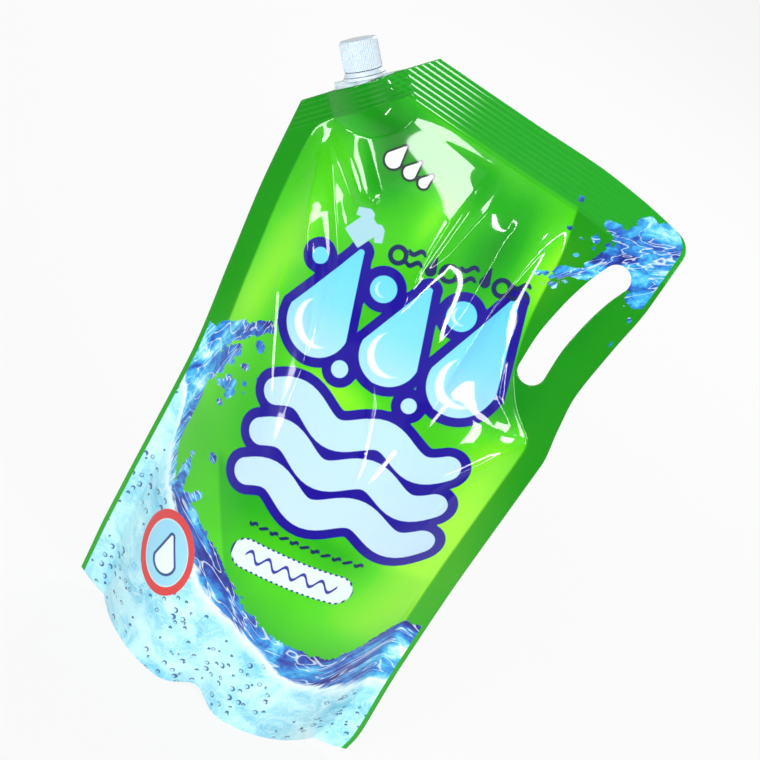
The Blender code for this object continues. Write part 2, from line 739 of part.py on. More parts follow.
def cap_mesh():
    """The cap's bore, from its ceiling down, then its ribbed skirt up to a chamfered, domed top."""
    top = CAP_CEILING + CAP_TOP
    bottom = RING_TOP + CAP_GAP
    outer = CAP_BORE + CAP_WALL
    smooth = outer - CAP_RIB_DEPTH
    profile = (
        (CAP_BORE, CAP_CEILING, False),
        (CAP_BORE, bottom, False),
        (outer, bottom, True),
        (outer, top - CAP_CHAMFER - CAP_RIB_END, True),
        (smooth, top - CAP_CHAMFER, False),
        (smooth - CAP_CHAMFER, top, False),
        (CAP_FLAT * outer, top + CAP_DOME, False),
    )
    sides = 2 * CAP_RIBS
    rings = []
    for radius, level, ribbed in profile:
        ring = []
        for side, (x, y, z) in enumerate(ring_points(1, level, sides)):
            reach = radius - CAP_RIB_DEPTH if ribbed and side % 2 else radius
            ring.append((x * reach, y * reach, z))
        rings.append(ring)
    return loft("screw_cap", rings)


def build_cap(parts, helpers, frame):
    cap = new_object("screw_cap", cap_mesh(), parts, make_material("screw cap", (0.82, 0.87, 0.93), 0.3))
    cap.matrix_world = frame
    between_neck_turns = RING_TOP + THREAD_OFFSET + THREAD_PITCH / 2
    foot, crest = CAP_BORE + THREAD_FOOT, CAP_BORE - THREAD_HEIGHT
    add_thread(cap, "cap thread", between_neck_turns, foot, crest, frame, helpers)


def main():
    clear_scene()
    parts = make_collection("refill pouch")
    helpers = make_collection("cutters")
    frame = spout_frame()
    build_pouch(parts, helpers, frame)
    build_spout(parts, helpers, frame)
    build_tamper_ring(parts, frame)
    build_liner(parts, frame)
    build_cap(parts, helpers, frame)


main()
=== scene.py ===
import math

import bpy
import numpy as np
from mathutils import Matrix, Vector


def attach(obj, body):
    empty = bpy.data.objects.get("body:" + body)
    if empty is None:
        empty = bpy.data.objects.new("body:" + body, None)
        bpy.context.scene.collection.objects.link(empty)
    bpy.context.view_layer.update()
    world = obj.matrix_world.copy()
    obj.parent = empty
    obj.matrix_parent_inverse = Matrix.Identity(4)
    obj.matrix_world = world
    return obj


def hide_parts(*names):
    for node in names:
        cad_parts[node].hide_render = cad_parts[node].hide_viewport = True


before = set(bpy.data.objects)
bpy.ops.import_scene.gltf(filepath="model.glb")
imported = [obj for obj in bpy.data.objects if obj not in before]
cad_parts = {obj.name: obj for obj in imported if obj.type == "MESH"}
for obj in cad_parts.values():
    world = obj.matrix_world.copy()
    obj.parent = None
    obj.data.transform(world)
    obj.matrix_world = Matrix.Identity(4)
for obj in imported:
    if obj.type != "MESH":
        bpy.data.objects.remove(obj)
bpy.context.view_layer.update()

MM = 0.001

# Outline of the pouch, as shares of the base width and of the height
WIDTH = 182 * MM
HEIGHT = 364 * MM
LEAN = 18 * MM
SEAL = 0.4 * MM
LEFT_EDGE = ((0.0, -0.497), (0.02, -0.502), (0.19, -0.535), (0.39, -0.570), (0.43, -0.579))
LEFT_EDGE += ((0.58, -0.634), (0.70, -0.677), (0.832, -0.710))
RIGHT_EDGE = ((0.0, 0.495), (0.03, 0.502), (0.19, 0.483), (0.39, 0.472), (0.58, 0.472), (0.64, 0.451))
RIGHT_EDGE += ((0.70, 0.435), (0.79, 0.445), (0.88, 0.459), (1.0, 0.457))
TOP_EDGE = ((-0.44, 0.9975), (-0.12, 0.998), (0.10, 1.0), (0.24, 0.996), (0.34, 0.990), (0.45, 0.980))
CUT_LOW = (-0.710, 0.832)
CUT_HIGH = (-0.442, 0.9975)
TOP_CORNER = 9 * MM
ARCH_START = 0.7

# Seals
SIDE_SEAL = 12 * MM
BASE_SEAL = 19 * MM
CUT_SEAL = 13.5 * MM
TOP_SEAL = 26 * MM
TOP_RIBS = 9
RIB_RELIEF = 0.16 * MM
CUT_RIBS = 5
CUT_RIB_RELIEF = 0.10
FLANGE_EDGE = ((0.55, 0.62), (0.60, 0.41), (0.64, 0.30), (0.69, 0.235))
FLANGE_EDGE += ((0.76, 0.195), (0.86, 0.165), (0.94, 0.12))
SEAL_BLEND = 4 * MM

# Filled depth of one side and the form of its section
DEPTH = 42.5 * MM
BULGE = ((0.0, 1.0), (0.13, 1.04), (0.36, 0.86), (0.55, 0.60), (0.74, 0.33), (0.86, 0.15), (0.93, 0.0))
SECTION = ((0.0, 3.0), (0.3, 2.4), (1.0, 2.0))
FOLD_FADE = 9 * MM

# Base
BASE_REACH = 0.12
DENT = 12 * MM
BACK_DENT = 0.5
DENT_SPREAD = 11.5 * MM
DENT_RISE = 70 * MM
DENT_LIFT = 3.5 * MM
CORNER_LIFT = 7.5 * MM
CORNER_REACH = 0.33
SKIRT = 0.5 * MM
GUSSET_RISE = 6 * MM
GUSSET_FLAT = 0.55
GUSSET_RAISED = 0.8
GUSSET_ENDS = (0.24, 0.34)
BASE_PRINT_SHARE = 0.1
BASE_PRINT_START = 4

# Creases: height and reach to the left and right of the path in millimetres,
# and the path's (across, up, strength) points
CREASES = (
    (
        4.6, 9, 13,
        (-0.60, 0.82, 0.3), (-0.575, 0.775, 1), (-0.52, 0.715, 1), (-0.45, 0.665, 1), (-0.36, 0.59, 0),
    ),
    (
        2.6, 5, 8,
        (-0.575, 0.81, 0.2), (-0.53, 0.785, 0.8), (-0.42, 0.722, 1), (-0.36, 0.685, 1), (-0.25, 0.59, 0),
    ),
    (-3.6, 5, 6, (-0.585, 0.83, 0.4), (-0.59, 0.76, 1), (-0.61, 0.665, 0.8), (-0.60, 0.52, 0)),
    (
        4.4, 15, 4,
        (-0.14, 0.93, 0.3), (-0.148, 0.875, 1), (-0.155, 0.82, 1), (-0.15, 0.75, 0.8), (-0.12, 0.65, 0),
    ),
    (2.6, 6, 12, (-0.093, 0.915, 0.2), (-0.085, 0.86, 1), (-0.105, 0.78, 0.8), (-0.15, 0.70, 0)),
    (5.0, 10, 5, (0.148, 0.93, 0.2), (0.11, 0.84, 1), (0.093, 0.75, 1), (0.10, 0.63, 0.7), (0.13, 0.5, 0)),
    (-4.5, 8, 7, (0.17, 0.76, 0), (0.20, 0.69, 1), (0.25, 0.635, 1), (0.33, 0.61, 0.8), (0.42, 0.59, 0)),
    (-2.4, 8, 8, (0.02, 0.92, 0.3), (0.01, 0.83, 1), (0.03, 0.72, 0.6), (0.02, 0.62, 0)),
)
BACK_CREASES = (
    (3.6, 8, 5, (-0.50, 0.80, 0.2), (-0.40, 0.72, 1), (-0.30, 0.62, 0.7), (-0.25, 0.50, 0)),
    (4.0, 5, 9, (-0.16, 0.92, 0.2), (-0.13, 0.83, 1), (-0.10, 0.72, 0.8), (-0.12, 0.58, 0)),
    (-3.4, 7, 7, (0.03, 0.91, 0.3), (0.04, 0.80, 1), (0.06, 0.68, 0.6), (0.05, 0.56, 0)),
    (-4.0, 8, 7, (0.17, 0.76, 0), (0.20, 0.69, 1), (0.25, 0.63, 1), (0.33, 0.60, 0.8), (0.42, 0.58, 0)),
)
# Creases of the front that are too fine for the part's own solid
FINE_CREASES = (
    (
        0.9, 1.6, 1.6,
        (-0.47, 0.70, 0), (-0.41, 0.66, 1), (-0.33, 0.59, 1), (-0.27, 0.52, 0.5), (-0.24, 0.45, 0),
    ),
    (0.8, 1.4, 1.4, (-0.42, 0.68, 0), (-0.34, 0.64, 1), (-0.29, 0.58, 1), (-0.27, 0.52, 0)),
    (0.8, 1.2, 1.2, (-0.52, 0.66, 0), (-0.46, 0.58, 1), (-0.36, 0.50, 0.6), (-0.28, 0.44, 0)),
    (
        1.0, 1.6, 2.2,
        (-0.165, 0.66, 0), (-0.13, 0.60, 1), (-0.04, 0.54, 1), (0.03, 0.46, 0.4), (0.06, 0.40, 0),
    ),
    (0.8, 1.2, 1.2, (-0.022, 0.87, 0), (-0.006, 0.855, 1), (0.012, 0.85, 0)),
    (0.9, 1.5, 1.5, (0.088, 0.93, 0.2), (0.10, 0.91, 1), (0.09, 0.88, 1), (0.08, 0.84, 0)),
    (0.9, 1.5, 1.5, (0.41, 0.60, 0), (0.34, 0.555, 1), (0.27, 0.50, 0.8), (0.22, 0.44, 0)),
    (0.8, 1.5, 1.5, (0.41, 0.60, 0), (0.33, 0.53, 1), (0.30, 0.46, 0.7), (0.29, 0.40, 0)),
)
FINGER = ((-0.635, 0.868), (-0.40, 0.782))
FINGER_WIDTH = 11 * MM
FINGER_HEIGHT = 3.5 * MM
FINGER_TAPER = 0.3

# Carrying slot
SLOT_WIDTH = 15.5 * MM
SLOT_PATH = ((0.288, 0.692), (0.283, 0.740), (0.292, 0.793), (0.312, 0.845), (0.334, 0.878))

# Film tented over the spout's weld base
TENT_LENGTH = 44 * MM
TENT_FILM = 1.1 * MM
TENT_REACH = 44 * MM

# Spout, ring, disc and cap, measured along the spout's axis from the cut edge
SPOUT_ALONG_CUT = 0.468
SPOUT_TILT = math.radians(6.8)
CLEARANCE = 0.3 * MM
WELD_LENGTH = 34 * MM
WELD_WIDTH = 13 * MM
WELD_DEPTH = 14.5 * MM
WELD_OVERLAP = 0.2 * MM
WELD_GROOVE = 0.02
COLLAR_START = 1.7 * MM
COLLAR_HEIGHT = 1.6 * MM
COLLAR_RADIUS = 11.4 * MM
NECK_RADIUS = 7.6 * MM
BORE_RADIUS = 5.5 * MM
NECK_TOP = 19.8 * MM
NECK_LIP = 0.4 * MM
BEAD_RADIUS = 8.6 * MM
BEAD_HEIGHT = 0.9 * MM
RING_HEIGHT = 2.4 * MM
RING_WALL = 2.2 * MM
RING_FLARE = 0.7 * MM
CAP_RADIUS = 10.25 * MM
CAP_HEIGHT = 16.5 * MM
CAP_WALL = 1.3 * MM
CAP_TOP = 1.4 * MM
CAP_CHAMFER = 0.9 * MM
CAP_DOME = 0.4 * MM
CAP_RIBS = 60
CAP_RIB_DEPTH = 0.35 * MM
CAP_RIB_END = 0.5 * MM
LINER_RADIUS = 8.0 * MM
LINER_THICKNESS = 0.7 * MM
THREAD_STARTS = 2
THREAD_PITCH = 3 * MM
THREAD_HEIGHT = 0.8 * MM
THREAD_ROOT = 1.1 * MM
THREAD_CREST = 0.7 * MM
THREAD_FOOT = 0.4 * MM
THREAD_OFFSET = 2.4 * MM
THREAD_START = math.radians(2)
THREAD_RUN_OUT = 12
COLLAR_TOP = COLLAR_START + COLLAR_HEIGHT
RING_BOTTOM = COLLAR_TOP + CLEARANCE
RING_TOP = RING_BOTTOM + RING_HEIGHT

# Meshes: columns, rows below the top seal and rows in it, and the rounding of moulded edges
FRONT_GRID = (228, 330, 76)
BACK_GRID = (150, 220, 60)
BASE_STEPS = 22
ROUND_SIDES = 96
DISC_SIDES = 72
SIDES_PER_RIB = 8
SPOUT_ROUNDING = 0.25 * MM
RING_ROUNDING = 0.3 * MM
DISC_ROUNDING = 0.12 * MM
SHARP_ANGLE = math.radians(35)

# Print, in millimetres across and up the film
TITLE_PLACE = (-11, 194)
TITLE_TURN = math.radians(9)
TITLE_OUTLINE = 5.2
SLOGAN_PLACE = (-9, 277.5)
BADGE_PLACE = (-54, 60)
BADGE_RADII = (17.4, 22.5)
BADGE_TURN = math.radians(20)
PILL = ((-18, 91.5), (33, 100))
PILL_HALF = 8.2
PILL_MIDDLE = 25.8
PILL_RIPPLE = 26.0
EDGE_LINE = 2.6

# Lighter and darker spots of the green ground: share, place across and up, and reach across and up
LIME_SPOTS = (
    (0.34, -93, 212, 14, 76),
    (0.50, 64, 150, 22, 66),
    (0.30, 30, 88, 60, 26),
    (0.30, -24, 190, 30, 12),
    (0.30, 82, 120, 12, 30),
)
# Painted light and shade of the front's folds, in the same columns: positive shares are painted light,
# negative ones painted shade
FOLD_LIGHT_AND_SHADE_SPOTS = (
    (0.24, -36, 292, 8, 20),
    (0.34, 33, 300, 11, 30),
    (-0.26, 1, 300, 12, 26),
    (-0.34, -70, 306, 15, 22),
    (-0.40, -92, 322, 24, 16),
    (-0.16, -30, 322, 22, 12),
    (-0.20, 60, 292, 9, 30),
    (-0.34, 54, 234, 13, 17),
)

# Stage: the world's light, and where the world and the floor grow dim in front for mirrored rays
WORLD_LIGHT = 0.2
DIM_SIDE = 0.1
WORLD_DIM = (-0.2, 0.3)
FLOOR_DIM = (-0.70, -0.15)
FLOOR_HALF = 9
FLOOR_TONE = 0.62
FLOOR_SHINE = 0.9

# Lights: place, target, size across and up in metres, and power
LIGHTS = (
    ("key", (-0.52, -1.67, 1.06), (-0.02, 0, 0.28), (0.84, 0.52), 21.5),
    ("front strip", (0.49, -1.21, 0.37), (0.02, 0, 0.28), (0.04, 0.40), 1.7),
    ("left box", (-0.74, -1.12, 0.22), (-0.08, 0, 0.26), (0.20, 0.40), 4.0),
    ("right box", (0.95, -0.75, 0.85), (0.03, 0, 0.22), (0.24, 0.38), 5.2),
    ("right strip", (0.95, -0.92, 0.30), (0.02, 0, 0.26), (0.10, 0.34), 2.2),
    ("back", (0.3, 1.5, 1.2), (0, 0, 0.2), (1.0, 0.8), 22.0),
)

# Camera
CAMERA_PLACE = (-0.01157, -1.39078, 0.76463)
CAMERA_ELEVATION = math.radians(22)
CAMERA_ROLL = math.radians(34.5)
CAMERA_LENS = 132.7
CAMERA_SENSOR = 36


def through(knots, places):
    """A curve through the knots without overshoot, read at the places."""
    at, value = np.array(knots, float).T
    places = np.clip(np.asarray(places, float), at[0], at[-1])
    step = np.diff(at)
    rise = np.diff(value) / step
    slope = np.zeros(len(at))
    same_way = rise[:-1] * rise[1:] > 0
    mean = 2 * rise[:-1] * rise[1:] / np.where(same_way, rise[:-1] + rise[1:], 1)
    slope[1:-1] = np.where(same_way, mean, 0)
    slope[0], slope[-1] = rise[0], rise[-1]
    span = np.clip(np.searchsorted(at, places, side="right") - 1, 0, len(step) - 1)
    t = (places - at[span]) / step[span]
    from_here = value[span] * (1 + 2 * t) * (1 - t) ** 2 + slope[span] * step[span] * t * (1 - t) ** 2
    from_next = value[span + 1] * t * t * (3 - 2 * t) + slope[span + 1] * step[span] * t * t * (t - 1)
    return from_here + from_next


def ramp(low, high, value):
    t = np.clip((value - low) / (high - low), 0, 1)
    return t * t * (3 - 2 * t)


def soft_max(first, second, blend):
    return 0.5 * (first + second + np.sqrt((first - second) ** 2 + blend**2))


def on_film(point):
    """A place drawn as shares of the width and the height, in metres."""
    return np.array((point[0] * WIDTH, point[1] * HEIGHT))


CUT_START = on_film(CUT_LOW)
CUT_VECTOR = on_film(CUT_HIGH) - CUT_START
CUT_LENGTH = float(np.hypot(*CUT_VECTOR))
CUT_ALONG = CUT_VECTOR / CUT_LENGTH
CUT_INWARD = np.array((CUT_ALONG[1], -CUT_ALONG[0]))


def left_edge(z):
    below = through(LEFT_EDGE, z / HEIGHT) * WIDTH
    on_cut = CUT_START[0] + (z - CUT_START[1]) * CUT_ALONG[0] / CUT_ALONG[1]
    return np.where(z > CUT_START[1], on_cut, below)


def right_edge(z):
    plain = through(RIGHT_EDGE, z / HEIGHT) * WIDTH
    into_corner = np.clip((z - CUT_HIGH[1] * HEIGHT + TOP_CORNER) / TOP_CORNER, 0, 1)
    return plain - TOP_CORNER * (1 - np.sqrt(1 - into_corner**2))


def top_edge(x):
    return through(TOP_EDGE, x / WIDTH) * HEIGHT


def seam(z):
    """How far the plane of the seals leans back."""
    return LEAN * np.clip(z / HEIGHT, 0, None) ** 1.5


def beside(x, z, foot, tip):
    """How far along a straight line each place lies, how far off it, and on which side."""
    length = np.hypot(*(tip - foot))
    along = (tip - foot) / length
    run = (x - foot[0]) * along[0] + (z - foot[1]) * along[1]
    side = (x - foot[0]) * along[1] - (z - foot[1]) * along[0]
    t = np.clip(run / length, 0, 1)
    return t, np.hypot(side, run - t * length), side


def crease(x, z, height, left, right, *path):
    """Lift of the film by one pointed fold along its path."""
    lift = np.zeros_like(x)
    for start, end in zip(path, path[1:]):
        t, away, side = beside(x, z, on_film(start), on_film(end))
        strength = start[2] + (end[2] - start[2]) * t
        reach = np.where(side > 0, left, right) * MM
        lift = np.maximum(lift, strength * np.exp(-away / reach))
    return height * MM * lift


def finger(x, z):
    """Lift of the rounded ridge that the spout's end pushes into the film."""
    t, away, _ = beside(x, z, on_film(FINGER[0]), on_film(FINGER[1]))
    share = away / (FINGER_WIDTH * (1 - FINGER_TAPER * t))
    return FINGER_HEIGHT * np.clip(1 - share**2, 0, 1)


def filled_span(z):
    """The sealed edges left and right of the filled chamber at this height."""
    side = SIDE_SEAL + (BASE_SEAL - SIDE_SEAL) * (1 - ramp(0, BASE_REACH * HEIGHT, z))
    under_cut = CUT_START[0] + (CUT_SEAL + (z - CUT_START[1]) * CUT_ALONG[0]) / CUT_ALONG[1]
    left = soft_max(left_edge(np.minimum(z, CUT_START[1])) + side, under_cut, SEAL_BLEND)
    right = -soft_max(side - right_edge(z), -through(FLANGE_EDGE, z / HEIGHT) * WIDTH, SEAL_BLEND)
    return left, right


def from_cut(x, z):
    """Places along and inward from the spout's axis on the cut edge."""
    foot = CUT_START + CUT_ALONG * CUT_LENGTH * SPOUT_ALONG_CUT
    along = (x - foot[0]) * CUT_ALONG[0] + (z - foot[1]) * CUT_ALONG[1]
    inward = (x - foot[0]) * CUT_INWARD[0] + (z - foot[1]) * CUT_INWARD[1]
    return along, inward


def tent(x, z):
    """Half the thickness of the film drawn over the spout's weld base, running out into the chamber."""
    along, inward = from_cut(x, z)
    section = np.clip(1 - (2 * along / TENT_LENGTH) ** 2, 0, 1)
    return (WELD_WIDTH / 2 + TENT_FILM) * section * (1 - ramp(WELD_DEPTH, TENT_REACH, inward))


def chamber(x, z):
    """Filled depth, from 0 at the seals to 1 on the fullest line of the base."""
    left, right = filled_span(z)
    across = np.clip(np.abs(2 * x - left - right) / (right - left), 0, 1)
    form = through(SECTION, z / HEIGHT)
    below_seal = np.clip((top_edge(x) - TOP_SEAL - z) / FOLD_FADE, 0, 1)
    return (1 - across**form) * through(BULGE, z / HEIGHT) * below_seal**0.5


def dent(x):
    return np.exp(-((x / DENT_SPREAD) ** 2))


def side_depth(x, z, creases, ridge, dent_share):
    """Half the thickness of the pouch on one side of the seam."""
    depth = chamber(x, z) * DEPTH
    fade = np.clip(depth / FOLD_FADE, 0, 1)
    folds = sum(crease(x, z, *entry) for entry in creases)
    rise = np.clip(1 - z / DENT_RISE, 0, 1) ** 1.5
    shaped = depth + fade * (folds + ridge - dent_share * DENT * dent(x) * rise)
    return SEAL / 2 + np.maximum(np.maximum(shaped, 0), tent(x, z))


def front_depth(x, z):
    return side_depth(x, z, CREASES + FINE_CREASES, finger(x, z), 1)


def back_depth(x, z):
    return side_depth(x, z, BACK_CREASES, 0, BACK_DENT)


def seal_ribs(row_height):
    """The ribs that the hot bars leave in the top seal, as a wave of both films together."""
    start = CUT_HIGH[1] * HEIGHT - TOP_SEAL
    turns = np.clip((row_height - start) / TOP_SEAL, 0, 1) * TOP_RIBS
    return RIB_RELIEF * np.sin(math.pi * (2 * turns - 0.5)) * (turns > 0)


def edge_lift(x, side_share):
    """How far the base edge stands off the floor at a place between its front (-1) and its back (1)."""
    outside = np.clip((np.abs(x) / WIDTH - CORNER_REACH) / (0.5 - CORNER_REACH), 0, None)
    near_edge = np.clip((np.abs(side_share) - GUSSET_FLAT) / (1 - GUSSET_FLAT), 0, 1)
    front_share = np.where(side_share < 0, 1.0, BACK_DENT)
    return CORNER_LIFT * outside**2 + DENT_LIFT * dent(x) * near_edge**2 * front_share


def arch(x, row):
    """How far the curved top edge moves this place up or down."""
    return (top_edge(x) - CUT_HIGH[1] * HEIGHT) * ramp(ARCH_START, CUT_HIGH[1], row / HEIGHT)


def film_points(x, row, side):
    """Places on one side's film: -1 is the front and 1 the back."""
    depth = front_depth(x, row) if side < 0 else back_depth(x, row)
    y = seam(row) + seal_ribs(row) + side * depth
    z = row + arch(x, row) + edge_lift(x, side) * ramp(BASE_REACH, 0, row / HEIGHT)
    return np.stack([x, y, z], axis=-1)


def nearest(x, z, path):
    """Distance to an open path of straight lines, the nearest place on it, and how far along it that is."""
    best = np.full_like(x, 1e9)
    place = np.zeros((len(x), 2))
    along = np.zeros_like(x)
    for index, (start, end) in enumerate(zip(path, path[1:])):
        start, run = np.array(start[:2], float), np.array(end[:2], float) - np.array(start[:2], float)
        t = np.clip(((x - start[0]) * run[0] + (z - start[1]) * run[1]) / (run @ run), 0, 1)
        foot = start + t[:, None] * run
        away = np.hypot(x - foot[:, 0], z - foot[:, 1])
        closer = away < best
        best = np.where(closer, away, best)
        place[closer] = foot[closer]
        along = np.where(closer, index + t, along)
    return best, place, along


def slot_path():
    path = np.array([on_film(point) for point in SLOT_PATH])
    steps = np.linspace(path[0, 1], path[-1, 1], 25)
    return np.stack([through([(z, x) for x, z in path], steps), steps], axis=-1)


def new_mesh_object(name, points, faces, material):
    mesh = bpy.data.meshes.new(name)
    mesh.from_pydata(points, [], faces)
    mesh.update()
    mesh.shade_smooth()
    mesh.materials.append(material)
    thing = bpy.data.objects.new(name, mesh)
    bpy.context.scene.collection.objects.link(thing)
    return thing


def add_fields(thing, fields):
    """Keeps the print's fields on the mesh's points, for its material to read."""
    for name, values in fields.items():
        kind, key = ("FLOAT_VECTOR", "vector") if values.ndim > 1 else ("FLOAT", "value")
        layer = thing.data.attributes.new(name, kind, "POINT")
        layer.data.foreach_set(key, np.ascontiguousarray(values, np.float32).ravel())


def grid_faces(rows, columns):
    """Faces between the places of a grid that is numbered row by row."""
    corner = np.arange(rows * columns).reshape(rows, columns)
    sides = (corner[:-1, :-1], corner[:-1, 1:], corner[1:, 1:], corner[1:, :-1])
    return np.stack(sides, axis=-1).reshape(-1, 4)


def without_loose(faces, *fields):
    """The faces numbered anew, and the fields at only the places that they use."""
    used, numbered = np.unique(faces, return_inverse=True)
    return numbered.reshape(faces.shape), *(field[used] for field in fields)


def film_object(name, grid, side, material):
    """One film: a fine sheet over the outline with the carrying slot left open, and, for the front, the cut
    edge that joins it to the back.
    """
    columns, lower, upper = grid
    top = CUT_HIGH[1] * HEIGHT
    seal_start = top - TOP_SEAL
    rows = np.concatenate([np.linspace(0, seal_start, lower + 1)[:-1], np.linspace(seal_start, top, upper)])
    across, row = (field.ravel() for field in np.meshgrid(np.linspace(0, 1, columns), rows))
    x = left_edge(row) + (right_edge(row) - left_edge(row)) * across
    level = row + arch(x, row)
    away, foot, _ = nearest(x, level, slot_path())
    inside = away < SLOT_WIDTH / 2
    faces = grid_faces(len(rows), columns)
    faces = faces[~inside[faces].all(axis=1)]
    outward = np.stack([x, level], axis=-1) - foot
    move = outward * (SLOT_WIDTH / 2 / np.maximum(away, 1e-6) - 1)[:, None]
    x = np.where(inside, x + move[:, 0], x)
    row = np.where(inside, row + move[:, 1], row)
    faces, x, row = without_loose(faces, x, row)
    points = film_points(x, row, side)
    if side < 0:
        edges = np.concatenate([faces[:, [step, (step + 1) % 4]] for step in range(4)])
        _, first, count = np.unique(np.sort(edges, axis=1), axis=0, return_index=True, return_counts=True)
        rim = edges[first[count == 1]]
        rim = rim[(row[rim] > 0).any(axis=1)]
        cut_edge = np.stack([rim[:, 1], rim[:, 0], rim[:, 0] + len(x), rim[:, 1] + len(x)], axis=-1)
        faces = np.concatenate([faces, cut_edge])
        points = np.concatenate([points, film_points(x, row, 1)])
        faces, points, x, row = without_loose(faces, points, np.tile(x, 2), np.tile(row, 2))
    else:
        faces = faces[:, ::-1]
    thing = new_mesh_object(name, points.tolist(), faces.tolist(), material)
    add_fields(thing, print_fields(x / MM, row / MM, side))
    return thing


def base_object(material):
    """The gusset film under the pouch: its flat middle stands on the floor behind the two skirts."""
    columns = FRONT_GRID[0]
    x = left_edge(0) + (right_edge(0) - left_edge(0)) * np.linspace(0, 1, columns)
    row = np.zeros_like(x)
    front, back = film_points(x, row, -1), film_points(x, row, 1)
    centre, half = (front[:, 1] + back[:, 1]) / 2, (back[:, 1] - front[:, 1]) / 2
    inner = np.clip(half - SKIRT, 0, None)
    sections = [front, np.stack([x, centre - inner, front[:, 2]], axis=-1)]
    open_enough = ramp(SKIRT, 6 * SKIRT, half)
    ends = ramp(*GUSSET_ENDS, np.abs(x) / WIDTH)
    for share in np.linspace(-1, 1, BASE_STEPS):
        lifted = np.maximum(ramp(GUSSET_FLAT, GUSSET_RAISED, abs(share)), ends)
        height = edge_lift(x, share) + GUSSET_RISE * lifted * open_enough
        sections.append(np.stack([x, centre + share * inner, height], axis=-1))
    sections += [np.stack([x, centre + inner, back[:, 2]], axis=-1), back]
    faces = grid_faces(len(sections), columns)[:, [0, 3, 2, 1]]
    points = np.concatenate(sections)
    thing = new_mesh_object("gusset_film", points.tolist(), faces.tolist(), material)
    up = points[:, 1] / MM * BASE_PRINT_SHARE + BASE_PRINT_START
    add_fields(thing, print_fields(points[:, 0] / MM, up, 1))
    return thing


def turned(point, place, turn):
    """A place in a print frame that is turned and moved, given in the film's millimetres."""
    x, z = point[0] - place[0], point[1] - place[1]
    return x * math.cos(turn) + z * math.sin(turn), z * math.cos(turn) - x * math.sin(turn)


def stroke(x, z, path):
    """Depth inside a stroke whose points are (across, up, half width), positive inside."""
    depth = np.full_like(x, -1e3)
    for start, end in zip(path, path[1:]):
        away, _, t = nearest(x, z, (start, end))
        depth = np.maximum(depth, start[2] + (end[2] - start[2]) * t - away)
    return depth


def dot(x, z, radius, across, up):
    return radius - np.hypot(x - across, z - up)


def wave_path(length, height, waves, half_width, taper, steps=40):
    """A wavy stroke along X about the origin, thinner towards its ends."""
    share = np.linspace(-1, 1, steps)
    width = half_width * (1 - taper * np.abs(share) ** 4)
    return list(zip(share * length / 2, height * np.sin(math.pi * waves * share), width))


def moved(path, across, up):
    return [(x + across, z + up, half) for x, z, half in path]


def deepest(*depths):
    return np.maximum.reduce(depths)


def title_fields(x, z):
    """The large motif of drops and bubbles over three waves."""
    u, v = turned((x, z), TITLE_PLACE, TITLE_TURN)
    upper = deepest(
        stroke(u, v, [(-41, 27, 18), (-36, 71, 1.8)]),
        stroke(u, v, [(1, 29, 16.5), (5, 68, 1.8)]),
        stroke(u, v, [(42, 30, 18.5), (48, 80, 1.8)]),
        dot(u, v, 7.2, -17, 59),
        dot(u, v, 8.0, 26, 62),
        dot(u, v, 4.6, -20, 11),
        dot(u, v, 4.2, 21.5, 9),
        dot(u, v, 4.4, -55, 60),
    )
    waves = [moved(wave_path(100, 5.0, 2, 8.3, 0.15), 4 + 2 * row, -16 - 22.5 * row) for row in range(3)]
    lower = deepest(*(stroke(u, v, path) for path in waves))
    return deepest(upper, lower), np.clip(v / 80, -1, 1)


def glint_field(x, z):
    """Pale crescents on the lower left of the large drops and bubbles."""
    u, v = turned((x, z), TITLE_PLACE, TITLE_TURN)
    depth = np.full_like(x, -1e3)
    for across, up, radius in ((-41, 27, 13.5), (1, 29, 12.2), (42, 30, 14), (-17, 59, 4.6), (26, 62, 5.2)):
        moon = np.minimum(
            dot(u, v, radius, across, up),
            -dot(u, v, radius, across + 0.28 * radius, up + 0.22 * radius),
        )
        depth = np.maximum(depth, moon)
    return depth


def scatter(x, z, seed, count, centre, spread, sizes):
    """Seeded round drops about a centre."""
    generator = np.random.default_rng(seed)
    depth = np.full_like(x, -1e3)
    for _ in range(count):
        place = generator.normal(centre, spread)
        depth = np.maximum(depth, dot(x, z, generator.uniform(*sizes), *place))
    return depth


def water_top(x):
    """Height of the water's upper line over the foot of the pouch."""
    knots = ((-130, 175), (-102, 173), (-94, 160), (-87, 138), (-83, 108), (-72, 93), (-55, 90), (-34, 83))
    knots += ((-15, 73), (0, 66), (20, 60), (50, 60), (65, 77), (75, 93), (95, 98))
    return through(knots, x)


def band_bottom(x):
    """Height of the lower side of the dark band under the water's upper line."""
    knots = ((-130, 160), (-95, 130), (-86, 104), (-72, 84), (-50, 72), (-32, 63), (-15, 56), (0, 52))
    knots += ((20, 48), (45, 40), (66, 44), (83, 56), (95, 62))
    return through(knots, x)


